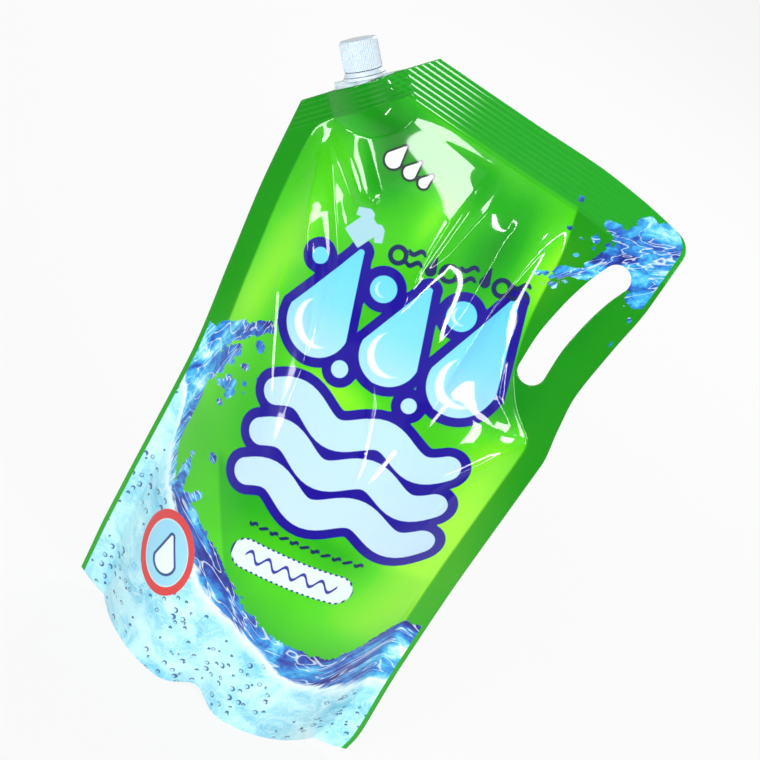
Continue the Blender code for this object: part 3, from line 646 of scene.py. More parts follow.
def water_fields(x, z, side):
    """Depth inside the water, depth below its dark band, flow coordinates and how dark it is."""
    body = (water_top(x) - z) * 0.75
    arm = stroke(x, z, [(-100, 158, 9), (-95, 172, 5.5), (-88, 183, 4.2), (-82, 188, 3.2), (-76, 195, 3.4)])
    strand = stroke(x, z, [(-92, 150, 5), (-88, 164, 3), (-84, 172, 2.6)])
    spikes = deepest(
        stroke(x, z, [(-70, 92, 3.5), (-73, 110, 1.2)]),
        stroke(x, z, [(-64, 88, 3.5), (-57, 97, 2.4)]),
    )
    left_drops = deepest(
        scatter(x, z, 3, 16, (-74, 160), (6, 16), (1.1, 2.6)),
        stroke(x, z, [(-82, 151, 2.4), (-74, 153, 3.0)]),
        scatter(x, z, 5, 6, (-71, 206), (3, 4), (1.0, 1.8)),
    )
    top = deepest(
        stroke(x, z, [(78, 348, 20), (72, 334, 13), (60, 338, 10), (52, 328, 5), (47, 317, 3.6)]),
        stroke(x, z, [(60, 352, 8), (54, 342, 4.5), (41, 341, 2.4)]),
        stroke(x, z, [(50, 320, 4), (45, 312, 3.0), (39, 309, 3.2), (34, 305, 3.0)]),
        stroke(x, z, [(78, 326, 9), (74, 318, 4)]),
        scatter(x, z, 11, 22, (42, 322), (11, 14), (0.9, 2.2)),
        scatter(x, z, 12, 8, (32, 298), (4, 5), (0.8, 1.6)),
        scatter(x, z, 13, 6, (73, 308), (3, 6), (0.8, 1.4)),
    )
    splash = deepest(arm, strand, spikes, left_drops, top) if side < 0 else np.full_like(x, -1e3)
    below_band = band_bottom(x) - z
    dark = 0.38 + 0.36 * ramp(-62, -5, x) * (1 - ramp(58, 84, x))
    dark = np.where(splash > body, 0.54, dark)
    dark = np.where((z > 300) & (x > 58), 0.42 + 0.18 * ramp(342, 322, z), dark)
    column = np.maximum(ramp(-70, -90, x), ramp(98, 128, z))
    along = np.where(z > 250, (x + z) * 0.7, x * (1 - column) + z * column)
    cross = np.where(z > 250, (z - x) * 0.7, body * (1 - column) + x * column)
    flow = np.stack([along, cross, np.zeros_like(x)], axis=-1)
    return deepest(body, splash), below_band, flow, dark


def slogan_field(x, z):
    """A chain of small rings, dots and ripples over the title."""
    u, v = turned((x, z), SLOGAN_PLACE, math.radians(20 / 70 * 57.3 * 0.95))
    depth = np.full_like(x, -1e3)
    for index, place in enumerate(np.linspace(-33, 33, 8)):
        lift = 1.5 * math.sin(index * 1.7)
        if index % 3 == 0:
            depth = np.maximum(depth, 1.3 - np.abs(np.hypot(u - place, v - lift) - 4.2))
        elif index % 3 == 1:
            ripple = moved(wave_path(9, 1.6, 1, 1.25, 0.4, 14), place, lift + 3)
            depth = deepest(depth, stroke(u, v, ripple), stroke(u, v, moved(ripple, 0, -6)))
        else:
            depth = deepest(depth, stroke(u, v, [(place, lift - 2.2, 3.0), (place + 1, lift + 5.5, 0.6)]))
    return depth


def small_line_field(x, z):
    """A thin row of dashes under the title."""
    u, v = turned((x, z), (6, 112.5), math.radians(9.8))
    depth = np.full_like(x, -1e3)
    for index, place in enumerate(np.linspace(-30, 30, 11)):
        ripple = moved(wave_path(4.2, 0.9, 0.5 if index % 2 else 1, 0.95, 0.3, 8), place, 0)
        depth = np.maximum(depth, stroke(u, v, ripple))
    return depth


def polygon(x, z, corners):
    """Depth inside a closed shape of straight sides."""
    ring = [*corners, corners[0]]
    away, _, _ = nearest(x, z, ring)
    inside = np.zeros(len(x), bool)
    for (x0, z0), (x1, z1) in zip(ring, ring[1:]):
        if z0 != z1:
            crosses = (z0 > z) != (z1 > z)
            inside ^= crosses & (x < x0 + (z - z0) * (x1 - x0) / (z1 - z0))
    return np.where(inside, away, -away)


def label_bars(x, z):
    """Plain bars of seeded lengths, in two columns on the back's label."""
    generator = np.random.default_rng(21)
    depth = np.full_like(x, -1e3)
    for start in (-43, 1):
        for row in range(12):
            length = generator.uniform(20, 36)
            level = 222 - 9 * row
            depth = np.maximum(depth, stroke(x, z, [(start, level, 1.2), (start + length, level, 1.2)]))
    return depth


def shirt_field(x, z):
    """A small garment pictogram."""
    u, v = turned((x, z), (-63, 270), math.radians(-22))
    half = [(1.6, 6.2), (3.2, 8.0), (6.4, 8.0), (11.4, 3.2), (8.6, -0.4), (6.2, 1.6), (6.2, -9.0)]
    return polygon(u, v, half + [(-across, up) for across, up in reversed(half)])


def corner_mark_field(x, z):
    """Three small drops under the top seal."""
    u, v = turned((x, z), (-59, 309), math.radians(-2))
    drops = ((-12, 4.6), (-1, 3.6), (8, 2.8))
    paths = [[(place, -2.5, size), (place + 1.5, size * 1.9 - 2.5, 0.5)] for place, size in drops]
    return deepest(*(stroke(u, v, path) for path in paths))


def glow(x, z, across, up, wide, high):
    """A soft round spot of the print, from 1 at its centre to 0."""
    return np.exp(-(((x - across) / wide) ** 2) - ((z - up) / high) ** 2)


def lime_and_fold_shade_field(x, z, side):
    """Brightness of the green ground, from deep green to pale yellow-green: print spots on both sides, and on
    the front also painted light and shade of the folds.
    """
    spots = LIME_SPOTS + FOLD_LIGHT_AND_SHADE_SPOTS if side < 0 else LIME_SPOTS
    ground = 0.44 + sum(share * glow(x, z, *spot) for share, *spot in spots)
    facet = (x + 52) * 24 - (112 - z) * 20
    return ground - 0.14 * ramp(-14, 14, facet) * ramp(128, 118, z) * (side < 0)


def edge_distance(x, z):
    """Distance in from the pouch's left or right edge."""
    row = z * MM
    return np.minimum(x - left_edge(row) / MM, right_edge(row) / MM - x)


def print_fields(x, z, side):
    """All fields of the print, as depths in millimetres that are positive inside a shape, with the ground's
    tone, which on the front also holds painted light and shade of the folds.
    """
    outside = np.full_like(x, -50.0)
    left, right = filled_span(z * MM)
    inset = edge_distance(x, z)
    water, below_band, flow, dark = water_fields(x, z, side)
    fields = {
        "place": np.stack([x, z, np.full_like(x, 40.0 * side)], axis=-1),
        "lime_and_fold_shade": lime_and_fold_shade_field(x, z, side),
        "seal": deepest(left / MM - x, x - right / MM),
        "inset": inset,
        "water": water,
        "below_band": below_band,
        "flow": flow,
        "dark": dark,
        "height": z,
        "from_cut": from_cut(x * MM, z * MM)[1] / MM,
    }
    names = ("title", "glint", "slogan", "shirt", "mark", "pill", "panel", "badge_drop")
    fields |= {name: outside for name in names}
    fields["title_up"] = outside * 0
    fields["badge"] = -outside
    fields["pill_place"] = np.full((len(x), 3), -50.0)
    if side < 0:
        fields["title"], fields["title_up"] = title_fields(x, z)
        fields["glint"] = glint_field(x, z)
        fields["slogan"] = deepest(slogan_field(x, z), small_line_field(x, z))
        fields["shirt"] = shirt_field(x, z)
        fields["mark"] = corner_mark_field(x, z)
        fields["pill"] = stroke(x, z, [(*end, PILL_HALF) for end in PILL])
        turn = math.atan2(PILL[1][1] - PILL[0][1], PILL[1][0] - PILL[0][0])
        u, v = turned((x, z), PILL[0], turn)
        fields["pill_place"] = np.stack([u, v, np.zeros_like(x)], axis=-1)
        u, v = turned((x, z), BADGE_PLACE, BADGE_TURN)
        fields["badge"] = np.hypot(u / BADGE_RADII[0], v / BADGE_RADII[1])
        fields["badge_drop"] = stroke(u, v, [(0, -4, 6.5), (1, 9.5, 0.8)])
    else:
        fields["panel"] = deepest(
            stroke(x, z, [(-44, place, 6) for place in (118, 228)]),
            stroke(x, z, [(38, place, 6) for place in (118, 228)]),
            6 - deepest(np.abs(x + 3) - 41, np.abs(z - 173) - 55),
        )
        fields["slogan"] = label_bars(x, z)
    return fields


def colour(red, green, blue):
    """A colour given as display values from 0 to 255."""
    shares = [value / 255 for value in (red, green, blue)]
    return (*(s / 12.92 if s <= 0.04045 else ((s + 0.055) / 1.055) ** 2.4 for s in shares), 1)


class Nodes:
    """Adds nodes to a tree and hands back their outputs."""

    def __init__(self, tree):
        self.tree = tree

    def add(self, kind, inputs, output=0, **settings):
        node = self.tree.nodes.new("ShaderNode" + kind)
        for name, value in settings.items():
            setattr(node, name, value)
        for socket, value in inputs.items():
            self.put(node.inputs[socket], value)
        return node.outputs[output]

    def put(self, socket, value):
        if isinstance(value, bpy.types.NodeSocket):
            self.tree.links.new(value, socket)
        else:
            socket.default_value = value

    def math(self, operation, first, second=0.0, third=0.0):
        return self.add("Math", {0: first, 1: second, 2: third}, operation=operation)

    def span(self, value, low, high, to_low=0.0, to_high=1.0):
        inputs = {"Value": value, "From Min": low, "From Max": high, "To Min": to_low, "To Max": to_high}
        return self.add("MapRange", inputs)


class Paint(Nodes):
    """One material, and the nodes that colour it."""

    def __init__(self, name, **constants):
        self.material = bpy.data.materials.new(name)
        self.material.use_nodes = True
        super().__init__(self.material.node_tree)
        self.shader = self.tree.nodes["Principled BSDF"]
        for socket, value in constants.items():
            self.shader.inputs[socket.replace("_", " ")].default_value = value

    def field(self, name):
        return self.add("Attribute", {}, "Fac", attribute_name=name)

    def vector_field(self, name):
        return self.add("Attribute", {}, "Vector", attribute_name=name)

    def scaled(self, vector, by):
        return self.add("VectorMath", {0: vector, 1: by}, operation="MULTIPLY")

    def inside(self, depth, at=0.0, blur=0.22):
        return self.span(depth, at - blur, at + blur)

    def mix(self, share, first, second):
        return self.add("Mix", {0: share, 6: first, 7: second}, 2, data_type="RGBA")

    def noise(self, vector, scale, detail=2.0, roughness=0.5, distortion=0.0):
        inputs = {"Vector": vector, "Scale": scale, "Detail": detail, "Roughness": roughness}
        inputs["Distortion"] = distortion
        return self.add("TexNoise", inputs)

    def stops(self, share, *stops):
        output = self.add("ValToRGB", {"Fac": share})
        elements = output.node.color_ramp.elements
        while len(elements) < len(stops):
            elements.new(0.5)
        for element, (place, value) in zip(elements, stops):
            element.position = place
            element.color = value
        return output

    def finish(self, base, bump=None, strength=0.2, distance=0.001):
        self.put(self.shader.inputs["Base Color"], base)
        if bump is not None:
            inputs = {"Strength": strength, "Distance": distance, "Height": bump}
            self.put(self.shader.inputs["Normal"], self.add("Bump", inputs))
        return self.material


def filaments(paint, noise, width):
    """Thin lines where a noise crosses its middle."""
    return paint.span(paint.math("ABSOLUTE", paint.math("SUBTRACT", noise, 0.5)), width, 0.0)


def water_colour(paint, place):
    """Splashing water: streaks along the flow from navy to white, over pale water with bubbles."""
    flow = paint.vector_field("flow")
    streaks = paint.noise(paint.scaled(flow, (0.038, 0.10, 1)), 1.0, 4.0, 0.6, 1.1)
    ripples = paint.noise(place, 0.13, 3.0, 0.55, 1.2)
    clouds = paint.noise(paint.scaled(flow, (0.02, 0.05, 1)), 1.0, 2.0, 0.5, 0.8)
    mixed = paint.math("MULTIPLY_ADD", streaks, 1.9, paint.field("dark"))
    mixed = paint.math("MULTIPLY_ADD", ripples, 0.6, mixed)
    shade = paint.math("MULTIPLY_ADD", clouds, 1.1, paint.math("SUBTRACT", mixed, 1.74))
    splash = paint.stops(
        shade,
        (0.0, colour(232, 250, 255)),
        (0.18, colour(150, 222, 244)),
        (0.38, colour(70, 180, 226)),
        (0.58, colour(42, 126, 202)),
        (0.78, colour(36, 70, 166)),
        (1.0, colour(30, 36, 124)),
    )
    fine = paint.noise(paint.scaled(flow, (0.03, 0.12, 1)), 1.0, 2.0, 0.5, 1.6)
    foam = paint.math("MULTIPLY", filaments(paint, fine, 0.022), 0.7)
    splash = paint.mix(foam, splash, colour(232, 250, 255))
    soft = paint.noise(place, 0.05, 4.0, 0.6, 0.8)
    pale = paint.stops(
        soft,
        (0.30, colour(104, 192, 222)),
        (0.43, colour(146, 216, 236)),
        (0.56, colour(180, 236, 245)),
        (0.72, colour(208, 246, 252)),
    )
    light_net = filaments(paint, paint.noise(place, 0.07, 2.0, 0.5, 2.6), 0.04)
    pale = paint.mix(paint.math("MULTIPLY", light_net, 0.4), pale, colour(226, 250, 254))
    below = paint.math("ADD", paint.field("below_band"), paint.math("MULTIPLY_ADD", streaks, 18.0, -9.0))
    rim = colour(222, 247, 254)
    water = paint.mix(paint.span(below, -2.5, 0.0), splash, rim)
    water = paint.mix(paint.span(below, 0.5, 6.0), water, pale)
    return paint.mix(bubble_mask(paint, place, below), water, colour(26, 70, 132))


def bubble_mask(paint, place, below):
    """Small crescents in loose groups: a disc with a shifted disc taken away."""
    grid = paint.scaled(place, (0.16, 0.16, 0))
    cell = paint.add("TexVoronoi", {"Vector": grid, "Scale": 1.0}, "Position", voronoi_dimensions="2D")
    tint = cell.node.outputs["Color"]
    from_centre = paint.add("VectorMath", {0: grid, 1: cell}, operation="SUBTRACT")
    swing = paint.add("VectorMath", {0: tint, 1: (0.5, 0.1, 0.5)}, operation="SUBTRACT")
    shift = paint.scaled(swing, (0.26, 0.22, 0))
    shifted = paint.add("VectorMath", {0: from_centre, 1: shift}, operation="ADD")
    away = paint.add("VectorMath", {0: from_centre}, "Value", operation="LENGTH")
    away_shifted = paint.add("VectorMath", {0: shifted}, "Value", operation="LENGTH")
    chance = paint.add("SeparateColor", {0: tint})
    size = paint.math("MULTIPLY_ADD", chance, 0.17, 0.12)
    disc = paint.span(paint.math("SUBTRACT", size, away), -0.02, 0.02)
    hole = paint.span(paint.math("SUBTRACT", paint.math("MULTIPLY", size, 0.70), away_shifted), -0.03, 0.03)
    crescent = paint.math("SUBTRACT", disc, paint.math("MULTIPLY", hole, 0.85))
    groups = paint.noise(place, 0.03, 2.0, 0.6)
    kept = paint.math("GREATER_THAN", paint.math("MULTIPLY_ADD", chance, -0.16, groups), 0.41)
    held = paint.math("MULTIPLY", paint.math("MAXIMUM", crescent, 0.0), kept)
    return paint.math("MULTIPLY", held, paint.span(below, 2.0, 6.0, 0.0, 0.9))


def ground_colour(paint, place):
    """The green ground with its darker sealed edges; on the front its tone also holds painted light and shade
    of the folds.
    """
    lime_and_fold_shade = paint.math("ADD", paint.field("lime_and_fold_shade"), paint.span(paint.noise(place, 0.02), 0.3, 0.7, -0.05, 0.05))
    ground = paint.stops(
        lime_and_fold_shade,
        (0.0, colour(4, 116, 8)),
        (0.30, colour(22, 158, 10)),
        (0.58, colour(76, 204, 10)),
        (0.95, colour(156, 240, 36)),
    )
    seal = paint.mix(paint.span(paint.field("height"), 60.0, 200.0), colour(26, 150, 12), colour(4, 128, 8))
    top = paint.span(paint.field("height"), 336.0, 340.0)
    ground = paint.mix(paint.math("MULTIPLY", paint.inside(paint.field("seal"), 0.0, 0.7), 0.9), ground, seal)
    return paint.mix(top, ground, colour(14, 150, 18))


def film_material():
    paint = Paint("printed film", Roughness=0.35, Coat_Weight=1.0, Coat_Roughness=0.04, Coat_IOR=1.5)
    paint.shader.inputs["Specular IOR Level"].default_value = 0.1
    place = paint.vector_field("place")
    ground = ground_colour(paint, place)
    ragged = paint.math("MULTIPLY_ADD", paint.noise(place, 0.16, 4.0, 0.62, 0.6), 8.0, -4.0)
    water = paint.math("ADD", paint.field("water"), ragged)
    wet = paint.math("MULTIPLY", paint.inside(water), paint.inside(paint.field("inset"), EDGE_LINE))
    base = paint.mix(wet, ground, water_colour(paint, place))
    title = paint.field("title")
    navy = colour(20, 0, 140)
    base = paint.mix(paint.inside(title, -TITLE_OUTLINE), base, navy)
    fill = paint.stops(
        paint.span(paint.field("title_up"), -1.0, 1.0),
        (0.0, colour(188, 214, 232)),
        (0.52, colour(176, 214, 230)),
        (0.75, colour(120, 208, 244)),
        (1.0, colour(88, 198, 246)),
    )
    base = paint.mix(paint.inside(title), base, fill)
    base = paint.mix(paint.inside(paint.field("glint"), 0.3, 0.5), base, colour(226, 242, 250))
    mark = paint.field("mark")
    base = paint.mix(paint.inside(mark, -1.3), base, colour(14, 34, 30))
    base = paint.mix(paint.inside(mark), base, colour(236, 244, 240))
    base = paint.mix(paint.inside(paint.field("shirt")), base, colour(158, 200, 212))
    base = pill_colour(paint, base)
    base = badge_colour(paint, base)
    panel = paint.field("panel")
    base = paint.mix(paint.inside(panel, -1.4), base, navy)
    base = paint.mix(paint.inside(panel), base, colour(214, 234, 236))
    base = paint.mix(paint.inside(paint.field("slogan")), base, colour(18, 34, 84))
    wrinkles = paint.math("MULTIPLY", paint.noise(place, 0.05, 3.0, 0.5, 0.4), 0.5)
    return paint.finish(base, paint.math("ADD", wrinkles, cut_ribs(paint)), 1.0, 0.001)


def cut_ribs(paint):
    """Height of the ribs of the corner seal, along the cut edge, in millimetres."""
    inward = paint.field("from_cut")
    wave = paint.math("SINE", paint.math("MULTIPLY", inward, 2 * math.pi * CUT_RIBS * MM / CUT_SEAL))
    inside = paint.span(inward, CUT_SEAL / MM + 0.4, CUT_SEAL / MM - 0.4)
    return paint.math("MULTIPLY", paint.math("MULTIPLY", wave, inside), CUT_RIB_RELIEF)


def pill_colour(paint, base):
    """A pale rounded label with a dashed border and one ripple."""
    depth = paint.field("pill")
    place = paint.add("SeparateXYZ", {0: paint.vector_field("pill_place")})
    up = place.node.outputs[1]
    base = paint.mix(paint.inside(depth), base, colour(214, 226, 250))
    line = paint.inside(paint.math("SUBTRACT", 0.55, paint.math("ABSOLUTE", depth)))
    dashes = paint.inside(paint.math("SINE", paint.math("MULTIPLY", place, 2.1)), 0.1, 0.3)
    base = paint.mix(paint.math("MULTIPLY", line, dashes), base, colour(30, 40, 110))
    ripple = paint.math("MULTIPLY", paint.math("SINE", paint.math("MULTIPLY", place, 0.62)), 2.6)
    away = paint.math("ABSOLUTE", paint.math("SUBTRACT", up, ripple))
    thread = paint.inside(paint.math("SUBTRACT", 1.0, away))
    from_middle = paint.math("ABSOLUTE", paint.math("SUBTRACT", place, PILL_MIDDLE))
    ends = paint.inside(paint.math("SUBTRACT", PILL_RIPPLE, from_middle))
    return paint.mix(paint.math("MULTIPLY", thread, ends), base, colour(50, 60, 150))


def badge_colour(paint, base):
    """A red ring round a pale field with one drop."""
    badge = paint.field("badge")
    drop = paint.field("badge_drop")
    base = paint.mix(paint.span(badge, 1.01, 0.99), base, colour(212, 58, 58))
    base = paint.mix(paint.span(badge, 0.80, 0.78), base, colour(196, 226, 236))
    base = paint.mix(paint.span(badge, 0.77, 0.75), base, colour(150, 212, 236))
    base = paint.mix(paint.inside(drop, -1.4), base, colour(40, 70, 130))
    return paint.mix(paint.inside(drop), base, colour(226, 240, 248))


def plastic(name, tint, roughness):
    """Moulded plastic with a faint unevenness."""
    paint = Paint(name, Roughness=roughness, Subsurface_Weight=0.15, Subsurface_Scale=0.002)
    place = paint.add("TexCoord", {}, "Object")
    cloud = paint.noise(place, 220.0, 3.0)
    darker = tuple(channel * 0.93 for channel in tint[:3]) + (1,)
    base = paint.mix(paint.span(cloud, 0.35, 0.65), darker, tint)
    return paint.finish(base, paint.noise(place, 2600.0, 2.0), 0.08, 0.0002)


def spout_frame():
    """The spout's frame: Z out along its axis, X along the weld base, origin on the cut edge."""
    place = CUT_START + CUT_ALONG * CUT_LENGTH * SPOUT_ALONG_CUT
    slope = float(seam(place[1] + MM) - seam(place[1] - MM)) / (2 * MM)
    outward = Matrix.Rotation(-SPOUT_TILT, 2) @ Vector(-CUT_INWARD)
    axis = Vector((outward.x, outward.y * slope, outward.y)).normalized()
    along = Vector((-outward.y, outward.x * slope, outward.x)).normalized() * -1
    along = (along - axis * along.dot(axis)).normalized()
    across = axis.cross(along)
    turn = Matrix((along, across, axis)).transposed().to_4x4()
    return Matrix.Translation(Vector((place[0], float(seam(place[1])), place[1]))) @ turn


def round_points(radius, level, sides, ribs=0, relief=0.0):
    """One ring of points about Z, fluted where it has ribs."""
    turn = np.linspace(0, 2 * math.pi, sides, endpoint=False)
    flute = relief * (0.5 - 0.5 * np.cos(ribs * turn)) ** 0.7 if ribs else 0
    reach = radius - flute
    return np.stack([reach * np.cos(turn), reach * np.sin(turn), np.full_like(turn, level)], axis=-1)


def skin(rings, closed):
    """Points and faces through rings of as many points each, joined end to end or capped."""
    count = len(rings[0])
    corner = np.arange(len(rings) * count).reshape(len(rings), count)
    upper = np.roll(corner, -1, axis=0) if closed else corner[1:]
    lower = corner if closed else corner[:-1]
    following = np.roll(lower, -1, axis=1), np.roll(upper, -1, axis=1)
    faces = np.stack([lower, following[0], following[1], upper], axis=-1).reshape(-1, 4).tolist()
    if not closed:
        faces += [corner[0, ::-1].tolist(), corner[-1].tolist()]
    return np.concatenate(rings).tolist(), faces


def join(parts):
    """Several (points, faces) as one."""
    points, faces = [], []
    for part_points, part_faces in parts:
        faces += [[index + len(points) for index in face] for face in part_faces]
        points += part_points
    return points, faces


def thread(start_level, foot, crest, steps=72):
    """The helical ridges of the thread, running out at both ends."""
    ridges = []
    for start in range(THREAD_STARTS):
        sections = []
        for share in np.linspace(0, 1, steps):
            angle = THREAD_START + 2 * math.pi * (share + start / THREAD_STARTS)
            run_out = min(1, THREAD_RUN_OUT * share, THREAD_RUN_OUT * (1 - share)) ** 0.5
            tip = foot + (crest - foot) * max(run_out, 0.05)
            level = start_level + THREAD_STARTS * THREAD_PITCH * share
            profile = ((foot, -THREAD_ROOT), (tip, -THREAD_CREST), (tip, THREAD_CREST), (foot, THREAD_ROOT))
            section = [(r * math.cos(angle), r * math.sin(angle), level + half / 2) for r, half in profile]
            sections.append(np.array(section))
        ridges.append(skin(sections, False))
    return ridges


def place_turned(name, parts, matrix, material, node, body):
    points, faces = join(parts)
    thing = new_mesh_object(name, points, faces, material)
    thing.data.transform(matrix)
    thing.data.update()
    thing.data.set_sharp_from_angle(angle=SHARP_ANGLE)
    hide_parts(node)
    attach(thing, body)


def rounded(profile, radius, steps=3):
    """A closed profile of (radius, level) with its corners rounded a little."""
    corners = [np.array(point, float) for point in profile]
    result = []
    for index, corner in enumerate(corners):
        before, after = corners[index - 1] - corner, corners[(index + 1) % len(corners)] - corner
        reach = min(radius, np.hypot(*before) / 2.5, np.hypot(*after) / 2.5)
        start, end = corner + before / np.hypot(*before) * reach, corner + after / np.hypot(*after) * reach
        for t in np.linspace(0, 1, steps):
            result.append(tuple((1 - t) ** 2 * start + 2 * t * (1 - t) * corner + t * t * end))
    return result


def build_spout(matrix):
    bead = RING_TOP + CLEARANCE
    profile = (
        (BORE_RADIUS, -WELD_DEPTH),
        (NECK_RADIUS, -WELD_DEPTH),
        (NECK_RADIUS, COLLAR_START),
        (COLLAR_RADIUS, COLLAR_START),
        (COLLAR_RADIUS, COLLAR_TOP),
        (NECK_RADIUS, COLLAR_TOP),
        (NECK_RADIUS, bead),
        (BEAD_RADIUS, bead + BEAD_HEIGHT / 2),
        (NECK_RADIUS, bead + BEAD_HEIGHT),
        (NECK_RADIUS, NECK_TOP - NECK_LIP),
        (NECK_RADIUS - NECK_LIP, NECK_TOP),
        (BORE_RADIUS, NECK_TOP),
    )
    neck = skin([round_points(r, z, ROUND_SIDES) for r, z in rounded(profile, SPOUT_ROUNDING)], True)
    shares = -np.cos(np.linspace(0, math.pi, 25))
    near = np.stack([shares * WELD_LENGTH / 2, -WELD_WIDTH / 2 * (1 - shares**2)], axis=-1)
    oval = np.concatenate([near, near[-2:0:-1] * (1, -1)])
    levels = np.linspace(-WELD_DEPTH, COLLAR_START + WELD_OVERLAP, 24)
    widths = 1 - WELD_GROOVE * (np.arange(len(levels)) % 4 == 1)
    sections = [np.column_stack([oval * width, np.full(len(oval), z)]) for z, width in zip(levels, widths)]
    weld = skin(sections, False)
    ridges = thread(RING_TOP + THREAD_OFFSET, NECK_RADIUS - THREAD_FOOT, NECK_RADIUS + THREAD_HEIGHT)
    material = plastic("moulded spout", colour(206, 222, 233), 0.38)
    place_turned("spout_moulding", [neck, weld, *ridges], matrix, material, "spout", "pack")


def build_ring(matrix):
    inner = NECK_RADIUS + CLEARANCE
    outer = inner + RING_WALL
    profile = ((inner, RING_BOTTOM), (outer + RING_FLARE, RING_BOTTOM), (outer, RING_TOP), (inner, RING_TOP))
    ring = skin([round_points(r, z, ROUND_SIDES) for r, z in rounded(profile, RING_ROUNDING)], True)
    material = plastic("moulded ring", colour(206, 222, 233), 0.38)
    place_turned("ring_moulding", [ring], matrix, material, "tamper_ring", "pack")


def build_disc(matrix):
    bottom = NECK_TOP + CLEARANCE
    top = bottom + LINER_THICKNESS
    profile = ((MM, bottom), (LINER_RADIUS, bottom), (LINER_RADIUS, top), (MM, top))
    sections = rounded(profile, DISC_ROUNDING)[3:-3]
    disc = skin([round_points(r, z, DISC_SIDES) for r, z in sections], False)
    material = plastic("foamed disc", colour(236, 238, 238), 0.6)
    place_turned("sealing_disc", [disc], matrix, material, "cap_liner", "liner")


def build_cap(matrix):
    top = NECK_TOP + 2 * CLEARANCE + LINER_THICKNESS + CAP_TOP
    bottom = top + CAP_DOME - CAP_HEIGHT
    bore = CAP_RADIUS - CAP_WALL
    smooth = CAP_RADIUS - CAP_RIB_DEPTH
    rib_top = top - CAP_CHAMFER - CAP_RIB_END
    sides = CAP_RIBS * SIDES_PER_RIB
    rings = [round_points(bore * share, top - CAP_TOP, sides) for share in (0.05, 0.6, 1.0)]
    rings += [round_points(bore, bottom, sides), round_points(CAP_RADIUS - 0.5 * MM, bottom, sides)]
    ribbed = [(0.25 * MM, bottom + 0.05 * MM, 0.3), (0.05 * MM, bottom + 0.4 * MM, 1.0)]
    ribbed += [(0, level, 1.0) for level in np.linspace(bottom + MM, rib_top, 8)]
    ribbed += [(0.12 * MM, rib_top + 0.25 * MM, 0.6)]
    for inset, level, share in ribbed:
        rings.append(round_points(CAP_RADIUS - inset, level, sides, CAP_RIBS, CAP_RIB_DEPTH * share))
    for angle in np.linspace(0, 1, 6) * math.pi / 2:
        inset, drop = CAP_CHAMFER * (1 - math.cos(angle)), CAP_CHAMFER * (1 - math.sin(angle))
        rings.append(round_points(smooth - inset, top - drop, sides))
    for share in (0.8, 0.6, 0.35, 0.05):
        rings.append(round_points((smooth - CAP_CHAMFER) * share, top + CAP_DOME * (1 - share**2), sides))
    ridges = thread(RING_TOP + THREAD_OFFSET + THREAD_PITCH / 2, bore + THREAD_FOOT, bore - THREAD_HEIGHT)
    parts = [skin(rings, False), *ridges]
    material = plastic("moulded cap", colour(204, 220, 232), 0.34)
    place_turned("ribbed_cap", parts, matrix, material, "screw_cap", "cap")


def build_pouch():
    material = film_material()
    films = [
        film_object("front_film", FRONT_GRID, -1, material),
        film_object("back_film", BACK_GRID, 1, material),
        base_object(material),
    ]
    for film in films:
        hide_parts("pouch")
        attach(film, "pack")


def stage_material(name):
    """A pale surface that looks almost white, is dimmer in front for mirrored rays and keeps the shadow."""
    paint = Paint(name, Roughness=0.9, Base_Color=(FLOOR_TONE, FLOOR_TONE, FLOOR_TONE, 1))
    rays = paint.add("LightPath", {}, "Is Camera Ray")
    seen = paint.math("MAXIMUM", rays, rays.node.outputs["Is Transmission Ray"])
    place = paint.add("NewGeometry", {}, "Position")
    ahead = paint.add("SeparateXYZ", {0: place}, "Y")
    strength = paint.math("MAXIMUM", seen, paint.span(ahead, *FLOOR_DIM, DIM_SIDE, 1.0))
    light = paint.add("Emission", {"Color": (1, 1, 1, 1), "Strength": strength})
    share = paint.math("MAXIMUM", seen, rays.node.outputs["Is Glossy Ray"])
    share = paint.math("MULTIPLY", share, FLOOR_SHINE)
    mixed = paint.add("MixShader", {0: share, 1: paint.shader.outputs[0], 2: light})
    paint.put(paint.tree.nodes["Material Output"].inputs["Surface"], mixed)
    return paint.material


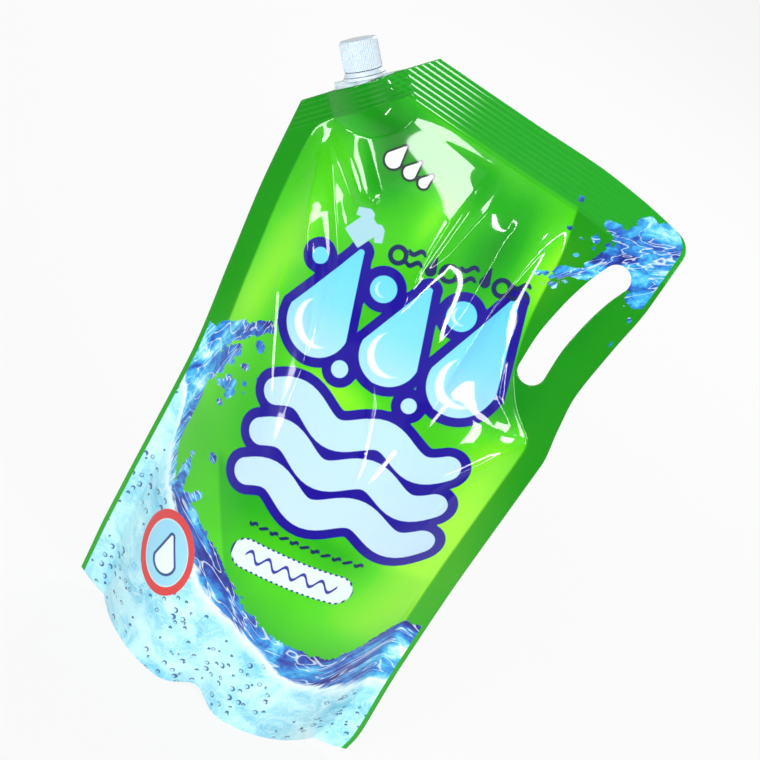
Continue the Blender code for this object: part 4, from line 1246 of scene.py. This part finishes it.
def build_stage():
    """The floor, and a world that is white to the camera and dimmer in front for mirrored rays."""
    corners = [(x * FLOOR_HALF, y * FLOOR_HALF, 0) for x, y in ((-1, -1), (1, -1), (1, 1), (-1, 1))]
    new_mesh_object("floor", corners, [(0, 1, 2, 3)], stage_material("pale floor"))
    world = bpy.data.worlds.new("studio")
    bpy.context.scene.world = world
    world.use_nodes = True
    nodes = Nodes(world.node_tree)
    background = world.node_tree.nodes["Background"]
    background.inputs["Color"].default_value = (1, 1, 1, 1)
    rays = nodes.add("LightPath", {}, "Is Camera Ray")
    seen = nodes.math("MAXIMUM", rays, rays.node.outputs["Is Transmission Ray"])
    direction = nodes.add("TexCoord", {}, "Generated")
    dimmed = nodes.span(nodes.add("SeparateXYZ", {0: direction}, "Y"), *WORLD_DIM, DIM_SIDE, 1.0)
    mirrored = nodes.math("MULTIPLY", rays.node.outputs["Is Glossy Ray"], dimmed)
    strength = nodes.span(nodes.math("MAXIMUM", seen, mirrored), 0.0, 1.0, WORLD_LIGHT, 1.0)
    nodes.put(background.inputs["Strength"], strength)


def build_lights():
    for name, place, target, size, power in LIGHTS:
        data = bpy.data.lights.new(name, "AREA")
        data.shape = "RECTANGLE"
        data.size, data.size_y = size
        data.energy = power
        lamp = bpy.data.objects.new(name, data)
        lamp.location = place
        lamp.rotation_euler = (Vector(target) - Vector(place)).to_track_quat("-Z", "Y").to_euler()
        bpy.context.scene.collection.objects.link(lamp)


def build_camera():
    level_right = Vector((1, 0, 0))
    level_up = Vector((0, math.sin(CAMERA_ELEVATION), math.cos(CAMERA_ELEVATION)))
    right = level_right * math.cos(CAMERA_ROLL) + level_up * math.sin(CAMERA_ROLL)
    up = level_up * math.cos(CAMERA_ROLL) - level_right * math.sin(CAMERA_ROLL)
    data = bpy.data.cameras.new("camera")
    data.lens = CAMERA_LENS
    data.sensor_width = CAMERA_SENSOR
    data.clip_start = 0.05
    data.clip_end = 50
    camera = bpy.data.objects.new("camera", data)
    turn = Matrix((right, up, right.cross(up))).transposed().to_4x4()
    camera.matrix_world = Matrix.Translation(CAMERA_PLACE) @ turn
    bpy.context.scene.collection.objects.link(camera)
    bpy.context.scene.camera = camera


def main():
    matrix = spout_frame()
    build_pouch()
    build_spout(matrix)
    build_ring(matrix)
    build_disc(matrix)
    build_cap(matrix)
    build_stage()
    build_lights()
    build_camera()
    bpy.context.scene.view_settings.view_transform = "Standard"


main()
